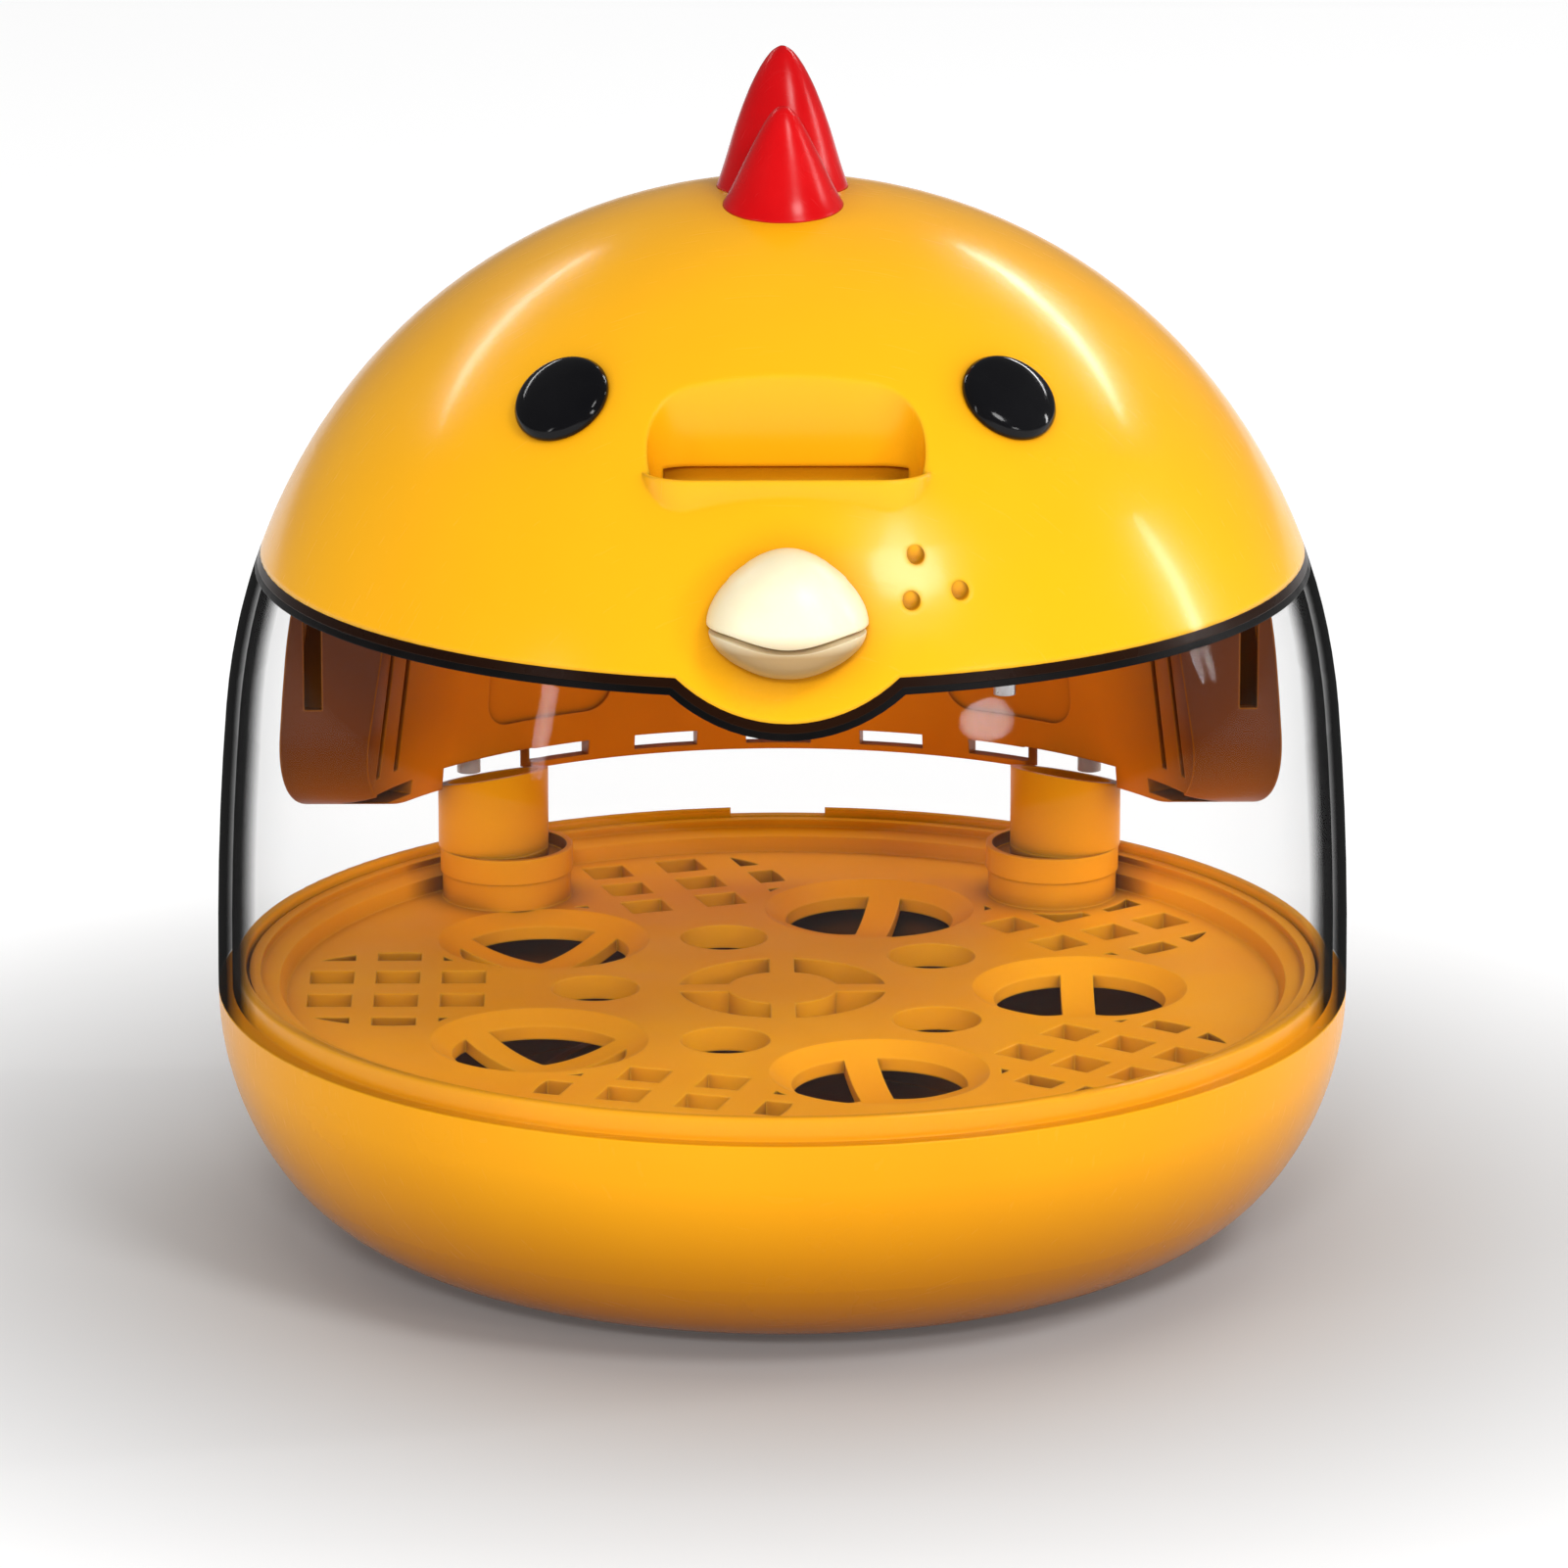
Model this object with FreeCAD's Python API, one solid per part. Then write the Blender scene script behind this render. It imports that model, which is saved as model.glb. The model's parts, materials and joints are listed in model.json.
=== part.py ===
import FreeCAD, Part
import math
import os
from FreeCAD import Vector

# Chick-shaped egg incubator. Millimetres, +Z up, -Y is the face, origin on the standing plane
# under the middle of the bowl.

# Outer skin, from the waist up
waist_radius = 102.2
waist_height = 49.4
flank_radius = 548.0        # nearly straight wall above the waist
flank_turn = 0.089          # angle of the skin's normal where the flank ends, radians
shoulder_radius = 108.7
shoulder_turn = 0.566       # where the shoulder meets the crown, a sphere about the axis

# Base bowl
ledge_height = 46.0         # where the clear shell stands
bowl_bottom = 1.0
bowl_wall = 3.0
belly_radius = 52.0
belly_turn = 0.6
lip_rise = 4.2
lip_wall = 2.0
lip_gap = 0.5               # clear shell to lip
shelf_depth = 3.5           # shelf that carries the tray rim
shelf_width = 3.2
notch_width = 18.0
notch_depth = 1.3
foot_radius = 6.8
foot_circle = 50.0
foot_recess = 1.0
foot_gap = 0.2

# Water pan
pan_boss_radius = 5.0
pan_boss_circle = 52.0
pan_floor_height = 12.0
pan_height = 22.0
pan_bottom_radius = 74.0
pan_top_radius = 86.0
pan_wall = 1.8
pan_divider_radius = 46.0
pan_divider_height = 11.0

# Egg tray
tray_top = 43.8
tray_thickness = 4.4
tray_gap = 0.6              # tray rim to lip
tray_flat_inset = 6.6       # rim radius less the flat radius
tray_step_rise = 2.6
tray_rim_rise = 5.0
seats = 5
seat_circle = 54.0
seat_radius = 19.5
seat_depth = 6.0
seat_wall = 2.2
seat_window_radius = 15.6
seat_spoke = 6.0
round_hole_radius = 8.0
round_hole_circle = 34.0
hub_radius = 10.0
hub_slot_radius = 18.8
hub_bar = 4.5
lattice_circle = 70.0
lattice_reach = 23.0
lattice_hole = 8.0
lattice_pitch = (12.0, 14.5)    # along the radius, across it
lattice_margin = 2.0            # web left beside a seat or a collar

# Water pipes that stand in the tray
pipe_radius = 10.3
pipe_wall = 1.8
pipe_top = 66.8             # on the pipe's own axis
pipe_top_slope = 0.25       # how steeply the top is cut, falling outwards
pipe_angle = 49.0           # degrees from +X, mirrored to the other side
pipe_fit = 0.1              # radial, in its collar
spigot_radius = 8.7         # the pipe's lower end, inside the collar
spigot_wall = 1.5
collar_radius = 12.4
collar_shift = 2.4          # collar's axis from the pipe's, along X towards the middle
collar_rise = 9.8
collar_wall = 1.1           # round the pocket in the collar's top
collar_pocket = 2.5
collar_step = 5.1           # height of the recessed band round the collar's foot
collar_step_in = 0.4
collar_floor = 1.2
collar_lap = 2.2            # ledge under the pipe's end
pipe_to_riser = 1.5         # pipe's skin to the tray's riser
seal_section = 0.5          # O-ring wire radius

# Dome and clear shell
seam_height = 126.5
dome_wall = 2.4
shell_wall = 2.5
chin_bottom = 119.5
chin_radius = 29.7
trim_width = 1.6
seal_width = 1.2

# Forehead hopper
hopper_width = 47.8
hopper_depth = 16.3
hopper_corner = 7.6
hopper_centre_y = 33.65 - waist_radius
hopper_lip_height = 157.6
hopper_wall = 1.2
hopper_floor_height = 151.5
hopper_lip_round = 0.6
hopper_groove_width = 44.0  # groove low in the rear wall
hopper_groove_top = 156.0
hopper_groove_depth = 2.2
hopper_slot_width = 24.0
hopper_slot_setback = 2.0   # slot to the front wall
tank_depth = 8.5
tank_wall = 1.6
tank_gap = 0.3              # tank to the dome's inner face

# Face
eye_x = 38.6
eye_y = 47.5 - waist_radius
eye_radius = 8.75
eye_bulge = 3.0
peg_radius = 2.5
peg_length = 5.0
peg_fit = 0.1               # radial, pegs and screws in their holes
peg_screw_core = 1.1
mouth_height = 135.3
mouth_gap = 0.9
beak_half_width = 13.9
beak_tip_y = 0.2 - waist_radius
upper_beak_height = 12.2
lower_beak_height = 7.8
beak_peg_rise = 4.5         # peg above or below the mouth
vent_radius = 1.6
vent_depth = 1.1
vent_spots = ((22.0, 145.5), (29.6, 139.5), (21.2, 138.5))  # x and height of each pit

# Comb: each lobe is one outline turned about its own axis
comb_outline = ((0.17, 0.044), (0.34, 0.153), (0.495, 0.285), (0.72, 0.547), (0.895, 0.814))
comb_sink = 3.0             # outline points are shares of the foot's radius and of the height
rear_lobe = (2.5, 11.7, 217.0, 4.0)         # y, foot radius, tip height, lean of the tip in degrees
front_lobe = (-9.6, 10.6, 208.5, -3.0)
comb_screw_shift = (3.0, 2.0)               # screws behind each lobe's middle

# Rear hood: the duct behind the eggs
hood_gap = 1.6              # hood to clear shell
hood_wall = 2.0
hood_front_y = 31.0
hood_corner = 17.0
hood_bottom = 65.8
hood_pipe_gap = 0.8         # round the pipes' tops, where the hood's lower ring is open
hood_floor = 70.0
hood_inner_low = 84.0       # inner wall radius at the bottom edge
hood_inner_high = 75.0      # and at the deck
windows = 9
window_width = 12.2
window_pitch = 14.75        # degrees
window_low = 67.0
window_high = 69.8
panel_recess = 0.8
slit_width = 1.6
nozzle_radius = 2.2
nozzle_bore = 1.2
nozzle_tip = 66.2
nozzle_top = 80.0
hose_wall = 0.9

# Water channels on the deck
channel_width = 7.0
channel_height = 6.0
channel_wall = 1.2
channel_to_dome = 0.8
spout_length = 8.0

# Deck under the dome and the fan on it
deck_bottom = 129.0
deck_thickness = 2.4
deck_gap = 1.0              # deck edge to dome
fan_size = 60.0
fan_height = 15.0
fan_bore = 56.0
fan_hub_radius = 12.0
fan_tip_gap = 1.5
blades = 7
shaft_radius = 1.5
shaft_clearance = 0.05
guard_wire = 1.2
guard_rings = 4
heater_circle = 42.0
heater_wire = 2.0
heater_pitch = 7.0
heater_drop = 6.0
lead_offset = 6.0
screw_radius = 1.5
screw_core = 1.3            # where the thread bites into plastic
screw_clear = 0.2           # radial, where it passes through
screw_head = 2.8
screw_head_height = 2.0
screw_bite = 8.0
boss_radius = 4.0
boss_circle = 58.0
boss_angles = (20, 160, 215, 325)

# Electronics
board_size = (62.0, 32.0, 1.6)
board_centre_y = waist_radius - 46.7
board_standoff = 5.0
socket_height = 141.0
socket_radius = 5.5
socket_length = 13.0
socket_bore = 3.2
socket_depth = 9.0
socket_pin = 0.8
nut_radius = 8.0            # to its corners
nut_height = 3.1
button_height = 158.0
button_radius = 5.0
button_gap = 0.3
button_travel = 1.0
button_rise = 1.6           # proud of the dome
button_depth = 2.5          # below the dome's inner face
button_flange = 1.2
probe_radius = 2.0
probe_length = 30.0
probe_x = 40.0

rest_gap = 0.2              # between parts that only stand on each other
far = 300.0                 # longer than anything here

os.makedirs("parts", exist_ok=True)


# Helpers

def save(name, shape):
    shape.exportStep("parts/%s.step" % name)
    print(name, len(shape.Solids), round(shape.Volume))


def fuse(shapes):
    whole = shapes[0]
    if len(shapes) > 1:
        whole = whole.multiFuse(shapes[1:])
    return whole.removeSplitter()


def cylinder(radius, low, high, x=0.0, y=0.0):
    return Part.makeCylinder(radius, high - low, Vector(x, y, low))


def ring(outer, inner, low, high, x=0.0, y=0.0):
    return cylinder(outer, low, high, x, y).cut(cylinder(inner, low - 1, high + 1, x, y))


def box(low, high):
    size = [b - a for a, b in zip(low, high)]
    return Part.makeBox(size[0], size[1], size[2], Vector(*low))


def rod(start, end, radius):
    return Part.makeCylinder(radius, (end - start).Length, start, end - start)


def polar(radius, degrees, z=0.0):
    turn = math.radians(degrees)
    return Vector(radius * math.cos(turn), radius * math.sin(turn), z)


def turned(shape, degrees):
    copy = shape.copy()
    copy.rotate(Vector(0, 0, 0), Vector(0, 0, 1), degrees)
    return copy


def mirrored(shape):
    return shape.mirror(Vector(0, 0, 0), Vector(1, 0, 0))


def revolved(edges):
    face = Part.Face(Part.Wire(Part.__sortEdges__(edges)))
    return face.revolve(Vector(0, 0, 0), Vector(0, 0, 1), 360)


def line(a, b):
    return Part.makeLine(Vector(a[0], 0, a[1]), Vector(b[0], 0, b[1]))


def turned_polygon(points):
    return revolved([line(a, b) for a, b in zip(points, points[1:] + points[:1])])


def arc_point(centre, radius, angle):
    return (centre[0] + radius * math.cos(angle), centre[1] + radius * math.sin(angle))


def arc(centre, radius, start, end):
    ends = [arc_point(centre, radius, a) for a in (start, (start + end) / 2, end)]
    return Part.Arc(*[Vector(x, 0, z) for x, z in ends]).toShape()


# The outer skin: a straight waist, flank, shoulder and crown, each tangent to the next

flank_centre = (waist_radius - flank_radius, waist_height)
flank_end = arc_point(flank_centre, flank_radius, flank_turn)
shoulder_centre = arc_point(flank_end, -shoulder_radius, flank_turn)
shoulder_end = arc_point(shoulder_centre, shoulder_radius, shoulder_turn)
crown_radius = shoulder_end[0] / math.cos(shoulder_turn)
crown_centre = shoulder_end[1] - crown_radius * math.sin(shoulder_turn)
crown_top = crown_centre + crown_radius


def skin(inset, low):
    """Solid inside the skin, set in by a distance and cut off flat below."""
    side = waist_radius - inset
    flank = flank_radius - inset
    shoulder = shoulder_radius - inset
    crown = crown_radius - inset
    edges = [
        line((0, low), (side, low)),
        line((side, low), (side, waist_height)),
        arc(flank_centre, flank, 0, flank_turn),
        arc(shoulder_centre, shoulder, flank_turn, shoulder_turn),
        arc((0, crown_centre), crown, shoulder_turn, math.pi / 2),
        line((0, crown_centre + crown), (0, low)),
    ]
    return revolved(edges)


def skin_radius(z, inset=0.0):
    """Radius of the skin at a height."""
    if z <= waist_height:
        return waist_radius - inset
    for centre, radius, top in (
        (flank_centre, flank_radius, flank_end[1]),
        (shoulder_centre, shoulder_radius, shoulder_end[1]),
        ((0, crown_centre), crown_radius, crown_top),
    ):
        if z <= top:
            break
    return centre[0] + math.sqrt((radius - inset) ** 2 - (z - centre[1]) ** 2)


def crown_point(x, y, out=0.0):
    """Point of the crown above a place, moved out along the crown's normal."""
    rise = math.sqrt(crown_radius ** 2 - x * x - y * y)
    normal = Vector(x, y, rise).normalize()
    return Vector(0, 0, crown_centre) + normal * (crown_radius + out), normal


def above_seam(margin):
    """Everything that belongs to the head: above the seam, with the chin dipping below it."""
    head = cylinder(waist_radius + 20, seam_height - margin, far)
    centre = chin_bottom + chin_radius
    chin = Part.makeCylinder(chin_radius + margin, waist_radius + 20,
                             Vector(0, 0, centre), Vector(0, -1, 0))
    return head.fuse(chin)


def stadium(width, depth, corner, low, high, y):
    half_w, half_d = width / 2, depth / 2
    block = box((-half_w, y - half_d, low), (half_w, y + half_d, high))
    upright = [e for e in block.Edges if abs(e.Vertexes[0].Z - e.Vertexes[-1].Z) > 1]
    return block.makeFillet(min(corner, half_d - 0.05), upright)


# Base bowl

belly_centre = (waist_radius - belly_radius, ledge_height)
belly_end = arc_point(belly_centre, belly_radius, -belly_turn)
toe_radius = (belly_end[1] - bowl_bottom) / (1 - math.sin(belly_turn))
toe_centre = arc_point(belly_end, -toe_radius, -belly_turn)
lip_outer = waist_radius - shell_wall - lip_gap
lip_inner = lip_outer - lip_wall
lip_top = ledge_height + lip_rise
shelf_inner = lip_inner - shelf_width
bowl_floor = bowl_bottom + bowl_wall


def bowl_body(inset):
    return revolved([
        line((0, bowl_bottom + inset), (toe_centre[0], bowl_bottom + inset)),
        arc(toe_centre, toe_radius - inset, -math.pi / 2, -belly_turn),
        arc(belly_centre, belly_radius - inset, -belly_turn, 0),
        line((waist_radius - inset, ledge_height), (0, ledge_height)),
        line((0, ledge_height), (0, bowl_bottom + inset)),
    ])


def base_bowl():
    wall = bowl_body(0).cut(bowl_body(bowl_wall))
    shelf = ring(waist_radius - bowl_wall / 2, shelf_inner, ledge_height - shelf_depth, ledge_height)
    lip = ring(lip_outer, lip_inner, ledge_height - 1, lip_top)
    bowl = fuse([wall, shelf, lip])
    bosses = [cylinder(pan_boss_radius, bowl_floor - 1, pan_floor_height - rest_gap, p.x, p.y)
              for p in (polar(pan_boss_circle, a) for a in (45, 135, 225, 315))]
    bowl = fuse([bowl] + bosses)
    recesses = [cylinder(foot_radius + foot_gap, bowl_bottom - 1, bowl_bottom + foot_recess, p.x, p.y)
                for p in (polar(foot_circle, a) for a in (0, 90, 180, 270))]
    notch = box((-notch_width / 2, lip_inner - 5, lip_top - notch_depth),
                (notch_width / 2, lip_outer + 5, lip_top + 1))
    bowl = bowl.cut(Part.makeCompound(recesses + [notch]))
    edges = [e for e in bowl.Edges if abs(e.BoundBox.ZMin - lip_top) < 0.01
             and abs(e.BoundBox.ZMax - lip_top) < 0.01 and e.Length > notch_width * 3]
    return bowl.makeFillet(lip_wall * 0.3, edges)


def rubber_feet():
    feet = []
    for angle in (0, 90, 180, 270):
        p = polar(foot_circle, angle)
        foot = cylinder(foot_radius, 0, bowl_bottom + foot_recess, p.x, p.y)
        rim = [e for e in foot.Edges if abs(e.BoundBox.ZMax) < 0.01]
        feet.append(foot.makeFillet(bowl_bottom * 0.5, rim))
    return Part.makeCompound(feet)


def water_pan():
    top = pan_floor_height + pan_height
    slope = (pan_top_radius - pan_bottom_radius) / pan_height
    side = pan_wall * math.sqrt(1 + slope * slope)
    floor = pan_floor_height + pan_wall
    floor_radius = pan_bottom_radius + slope * pan_wall - side
    pan = turned_polygon([
        (0, pan_floor_height), (pan_bottom_radius, pan_floor_height), (pan_top_radius, top),
        (pan_top_radius + pan_wall, top), (pan_top_radius + pan_wall, top + pan_wall),
        (pan_top_radius - side, top + pan_wall), (pan_top_radius - side, top),
        (floor_radius, floor), (0, floor),
    ])
    divider = ring(pan_divider_radius, pan_divider_radius - pan_wall, floor - 0.5,
                   floor + pan_divider_height)
    gap = box((-6, -pan_divider_radius - 2, floor), (6, -pan_divider_radius + 4, far))
    return fuse([pan, divider.cut(gap)])


# Egg tray

tray_rim = lip_inner - tray_gap
tray_flat = tray_rim - tray_flat_inset
tray_riser = shelf_inner - tray_gap
pipe_circle = tray_riser - pipe_radius - pipe_to_riser
tray_bottom = tray_top - tray_thickness
collar_top = tray_top + collar_rise
seat_angles = [i * 360 / seats for i in range(seats)]
between = [a + 180 / seats for a in seat_angles]


def seat_sphere():
    """Radius of the dished seat and the height of its centre."""
    radius = (seat_radius ** 2 + seat_depth ** 2) / (2 * seat_depth)
    return radius, tray_top + radius - seat_depth


def seat_window(spoke_angle):
    window = cylinder(seat_window_radius, 0, tray_top)
    for k in range(3):
        bar = box((0, -seat_spoke / 2, -1), (seat_radius, seat_spoke / 2, tray_top + 1))
        window = window.cut(turned(bar, spoke_angle + 120 * k))
    return window


def lattice():
    """Square holes either side of the radius, clipped round and clear of the seats and collars."""
    holes = []
    for i in (-1, 0, 1):
        for j in (-1.5, -0.5, 0.5, 1.5):
            x = lattice_circle + i * lattice_pitch[0]
            y = j * lattice_pitch[1]
            half = lattice_hole / 2
            holes.append(box((x - half, y - half, 0), (x + half, y + half, far)))
    holes = Part.makeCompound(holes)
    clip = cylinder(lattice_reach, -1, far, lattice_circle, 0)
    clip = clip.common(cylinder(tray_flat - lattice_margin, -1, far))
    return holes.common(clip)


def egg_tray():
    rim = tray_top + tray_rim_rise
    step = tray_top + tray_step_rise
    plate = turned_polygon([
        (0, tray_bottom), (tray_riser, tray_bottom), (tray_riser, ledge_height + rest_gap),
        (tray_rim, ledge_height + rest_gap), (tray_rim, rim), (tray_rim - lip_wall, rim),
        (tray_rim - lip_wall, step + 1), (tray_flat + 1.2, step), (tray_flat, tray_top), (0, tray_top),
    ])
    radius, centre = seat_sphere()
    added, removed = [], []
    spokes = (90, 78, 42, 18, 102)
    for angle, spoke in zip(seat_angles, spokes):
        p = polar(seat_circle, angle)
        dish = Part.makeSphere(radius + seat_wall, Vector(p.x, p.y, centre))
        added.append(dish.common(cylinder(seat_radius + seat_wall, 0, tray_top - 0.2, p.x, p.y)))
        below = cylinder(seat_radius, 0, tray_top, p.x, p.y)
        removed.append(Part.makeSphere(radius, Vector(p.x, p.y, centre)).common(below))
        window = seat_window(spoke)
        window.translate(Vector(p.x, p.y, 0))
        removed.append(window)
    pipes = [polar(pipe_circle, pipe_angle), polar(pipe_circle, 180 - pipe_angle)]
    keep = [cylinder(seat_radius + lattice_margin, -1, far, p.x, p.y)
            for p in (polar(seat_circle, a) for a in seat_angles)]
    inside = cylinder(tray_riser, 0, far).fuse(cylinder(tray_rim, ledge_height + rest_gap, far))
    for p in pipes:
        x = p.x - math.copysign(collar_shift, p.x)
        foot = cylinder(collar_radius - collar_step_in, tray_bottom, collar_top - 1, x, p.y)
        rim = cylinder(collar_radius, tray_top + collar_step, collar_top, x, p.y)
        pocket = cylinder(collar_radius - collar_wall, collar_top - collar_pocket, far, x, p.y)
        added.append(foot.fuse(rim).common(inside))
        keep.append(cylinder(collar_radius + lattice_margin, -1, far, x, p.y))
        removed.append(pocket.cut(cylinder(pipe_radius, 0, far, p.x, p.y)))
        removed.append(cylinder(spigot_radius + pipe_fit, tray_bottom + collar_floor, far, p.x, p.y))
        removed.append(cylinder(spigot_radius - collar_lap, 0, far, p.x, p.y))
    for angle in between:
        hole = polar(round_hole_circle, angle)
        removed.append(cylinder(round_hole_radius, 0, far, hole.x, hole.y))
    slots = ring(hub_slot_radius, hub_radius, 0, far)
    for k in range(2):
        bar = box((-hub_slot_radius - 1, -hub_bar / 2, -1), (hub_slot_radius + 1, hub_bar / 2, far))
        slots = slots.cut(turned(bar, 90 * k))
    removed.append(slots)
    grids = Part.makeCompound([turned(lattice(), a) for a in between])
    grids = grids.cut(Part.makeCompound(keep))
    tray = fuse([plate] + added)
    for tool in removed:
        tray = tray.cut(tool)
    return tray.cut(grids)


def water_pipe():
    """Pipe that stands on its collar, its top cut on a slope that falls outwards, and its seal."""
    p = polar(pipe_circle, pipe_angle)
    low = tray_bottom + collar_floor
    bore = spigot_radius - spigot_wall
    barrel = ring(pipe_radius, pipe_radius - pipe_wall, collar_top, pipe_top + pipe_radius, p.x, p.y)
    shoulder = ring(pipe_radius, bore, collar_top, collar_top + pipe_wall, p.x, p.y)
    spigot = ring(spigot_radius, bore, low, collar_top + pipe_wall, p.x, p.y)
    pipe = fuse([barrel, shoulder, spigot])
    above = box((-pipe_radius * 2, -pipe_radius * 2, 0), (pipe_radius * 2, pipe_radius * 2, far))
    above.rotate(Vector(0, 0, 0), Vector(0, 1, 0), math.degrees(math.atan(pipe_top_slope)))
    above = turned(above, pipe_angle)
    above.translate(Vector(p.x, p.y, pipe_top))
    pipe = pipe.cut(above)
    groove = Part.makeTorus(spigot_radius + pipe_fit - seal_section, seal_section,
                            Vector(p.x, p.y, (low + collar_top) / 2))
    return pipe.cut(groove), groove


# Head

def dome_shell():
    wall = skin(0, ledge_height).cut(skin(dome_wall, ledge_height - 1)).common(above_seam(0))
    outer = stadium(hopper_width + 2 * hopper_wall, hopper_depth + 2 * hopper_wall,
                    hopper_corner + hopper_wall, hopper_floor_height, far, hopper_centre_y)
    below_lip = cylinder(waist_radius, 0, hopper_lip_height)
    collar = outer.common(skin(0, ledge_height).fuse(below_lip))
    skirt = stadium(hopper_width + 2 * hopper_wall, hopper_depth + 2 * hopper_wall,
                    hopper_corner + hopper_wall, seam_height, hopper_lip_height, hopper_centre_y)
    collar = collar.fuse(skirt.cut(skin(dome_wall / 2, 0)))
    opening = stadium(hopper_width, hopper_depth, hopper_corner, hopper_floor_height, far,
                      hopper_centre_y)
    rear = hopper_centre_y + hopper_depth / 2
    backing = box((-hopper_groove_width / 2 - hopper_wall, rear, hopper_floor_height),
                  (hopper_groove_width / 2 + hopper_wall, rear + hopper_groove_depth + hopper_wall,
                   hopper_groove_top + hopper_wall))
    groove = stadium(hopper_groove_width, 2 * hopper_groove_depth, hopper_groove_depth,
                     hopper_floor_height + hopper_wall, hopper_groove_top, rear)
    dome = wall.fuse(collar).fuse(backing)
    bosses = []
    for angle in boss_angles:
        p = polar(boss_circle, angle)
        bosses.append(cylinder(boss_radius, deck_top, far, p.x, p.y).common(skin(dome_wall / 2, 0)))
    dome = fuse([dome] + bosses).cut(opening)
    dome = dome.makeFillet(hopper_lip_round, lip_edges(dome)).cut(groove)
    holes = []
    for x, z in vent_spots:
        y = -math.sqrt(skin_radius(z) ** 2 - x * x)
        out = Vector(x, y, 0).normalize()
        holes.append(rod(Vector(x, y, z) + out * 4, Vector(x, y, z) - out * vent_depth, vent_radius))
    for side in (-1, 1):
        point, normal = crown_point(side * eye_x, eye_y)
        holes.append(rod(point + normal * 4, point - normal * 8, peg_radius + peg_fit))
    for z in beak_pegs:
        holes.append(rod(Vector(0, -far / 2, z), Vector(0, 0, z), peg_radius + peg_fit))
    for y in comb_pegs:
        holes.append(cylinder(screw_core + peg_fit, crown_centre, far, 0, y))
    holes.append(rod(Vector(0, 0, socket_height), Vector(0, far, socket_height),
                     socket_radius + peg_fit))
    point, normal = button_place()
    holes.append(rod(point - normal * 12, point + normal * 8, button_radius + button_gap))
    for angle in boss_angles:
        p = polar(boss_circle, angle)
        holes.append(cylinder(screw_radius, deck_top - 1, deck_top + 9, p.x, p.y))
    for hole in holes:
        dome = dome.cut(hole)
    return dome


def lip_edges(dome):
    """Inner edge of the hopper's level front lip."""
    front = hopper_centre_y - hopper_depth / 2 - 0.01
    return [e for e in dome.Edges if abs(e.BoundBox.ZMin - hopper_lip_height) < 0.01
            and abs(e.BoundBox.ZMax - hopper_lip_height) < 0.01
            and e.BoundBox.YMin > front and e.BoundBox.YMax < hopper_centre_y
            and e.Length > hopper_wall * 2]


def button_place():
    rise = button_height - crown_centre
    return crown_point(0, math.sqrt(crown_radius ** 2 - rise ** 2))


def hopper_tank():
    """Tray under the hopper that feeds both water channels."""
    top = hopper_floor_height
    low = top - tank_depth
    width = hopper_width + 2 * hopper_wall
    depth = hopper_depth + 2 * hopper_wall
    corner = hopper_corner + hopper_wall
    body = stadium(width, depth, corner, low, top, hopper_centre_y)
    body = body.common(skin(dome_wall + tank_gap, 0))
    hollow = stadium(width - 2 * tank_wall, depth - 2 * tank_wall, corner - tank_wall,
                     low + tank_wall, top - tank_wall, hopper_centre_y)
    hollow = hollow.common(skin(dome_wall + tank_gap + tank_wall, 0))
    slot_front = hopper_centre_y - hopper_depth / 2 + hopper_slot_setback
    slot = box((-hopper_slot_width / 2, slot_front, low + tank_wall + 1),
               (hopper_slot_width / 2, hopper_centre_y, top + 1))
    body = body.cut(hollow).cut(slot)
    spout_low = deck_top + channel_wall + 1.5
    for x in (-tank_spout_x, tank_spout_x):
        body = body.fuse(cylinder(nozzle_radius, spout_low, low + 0.5, x, hopper_centre_y))
    for x in (-tank_spout_x, tank_spout_x):
        body = body.cut(cylinder(nozzle_bore, 0, low + tank_wall + 1, x, hopper_centre_y))
    return body.removeSplitter()


# Comb

def comb_lobe(lobe):
    """Outline turned about its axis: a ball at the tip, two arcs down the side, then a flared foot."""
    y, base, tip, lean = lobe
    foot = crown_top - comb_sink
    rise = tip - foot
    side = [(base * out, rise * (1 - down)) for out, down in comb_outline]
    drop = rise - side[0][1]
    ball = (side[0][0] ** 2 + drop ** 2) / (2 * drop)
    base = (base, 0)
    edges = [
        arc((0, rise - ball), ball, math.asin(1 - drop / ball), math.pi / 2),
        Part.Arc(*[Vector(x, 0, z) for x, z in side[0:3]]).toShape(),
        Part.Arc(*[Vector(x, 0, z) for x, z in side[2:5]]).toShape(),
        line(side[-1], base),
        line(base, (0, 0)),
        line((0, 0), (0, rise)),
    ]
    body = revolved(edges)
    body.rotate(Vector(0, 0, 0), Vector(1, 0, 0), -lean)
    body.translate(Vector(0, y, foot))
    return body


def crest():
    lobes = fuse([comb_lobe(lobe).cut(skin(0, 0)) for lobe in (rear_lobe, front_lobe)])
    for y in comb_pegs:
        lobes = lobes.cut(cylinder(screw_core, crown_centre, crown_top + screw_bite + 1, 0, y))
    return lobes


def crest_screws():
    screws = []
    for y in comb_pegs:
        under = skin_under(0, abs(y) + screw_head)
        head = cylinder(screw_head, under - screw_head_height, under, 0, y)
        shank = cylinder(screw_core, under - 1, crown_top + screw_bite, 0, y)
        screws.append(head.fuse(shank))
    return Part.makeCompound(screws)


def skin_under(x, y):
    """Height of the crown's inner face above a place."""
    return crown_centre + math.sqrt((crown_radius - dome_wall) ** 2 - x * x - y * y)


comb_pegs = (rear_lobe[0] + comb_screw_shift[0], front_lobe[0] + comb_screw_shift[1])


# Eyes and beak

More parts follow.
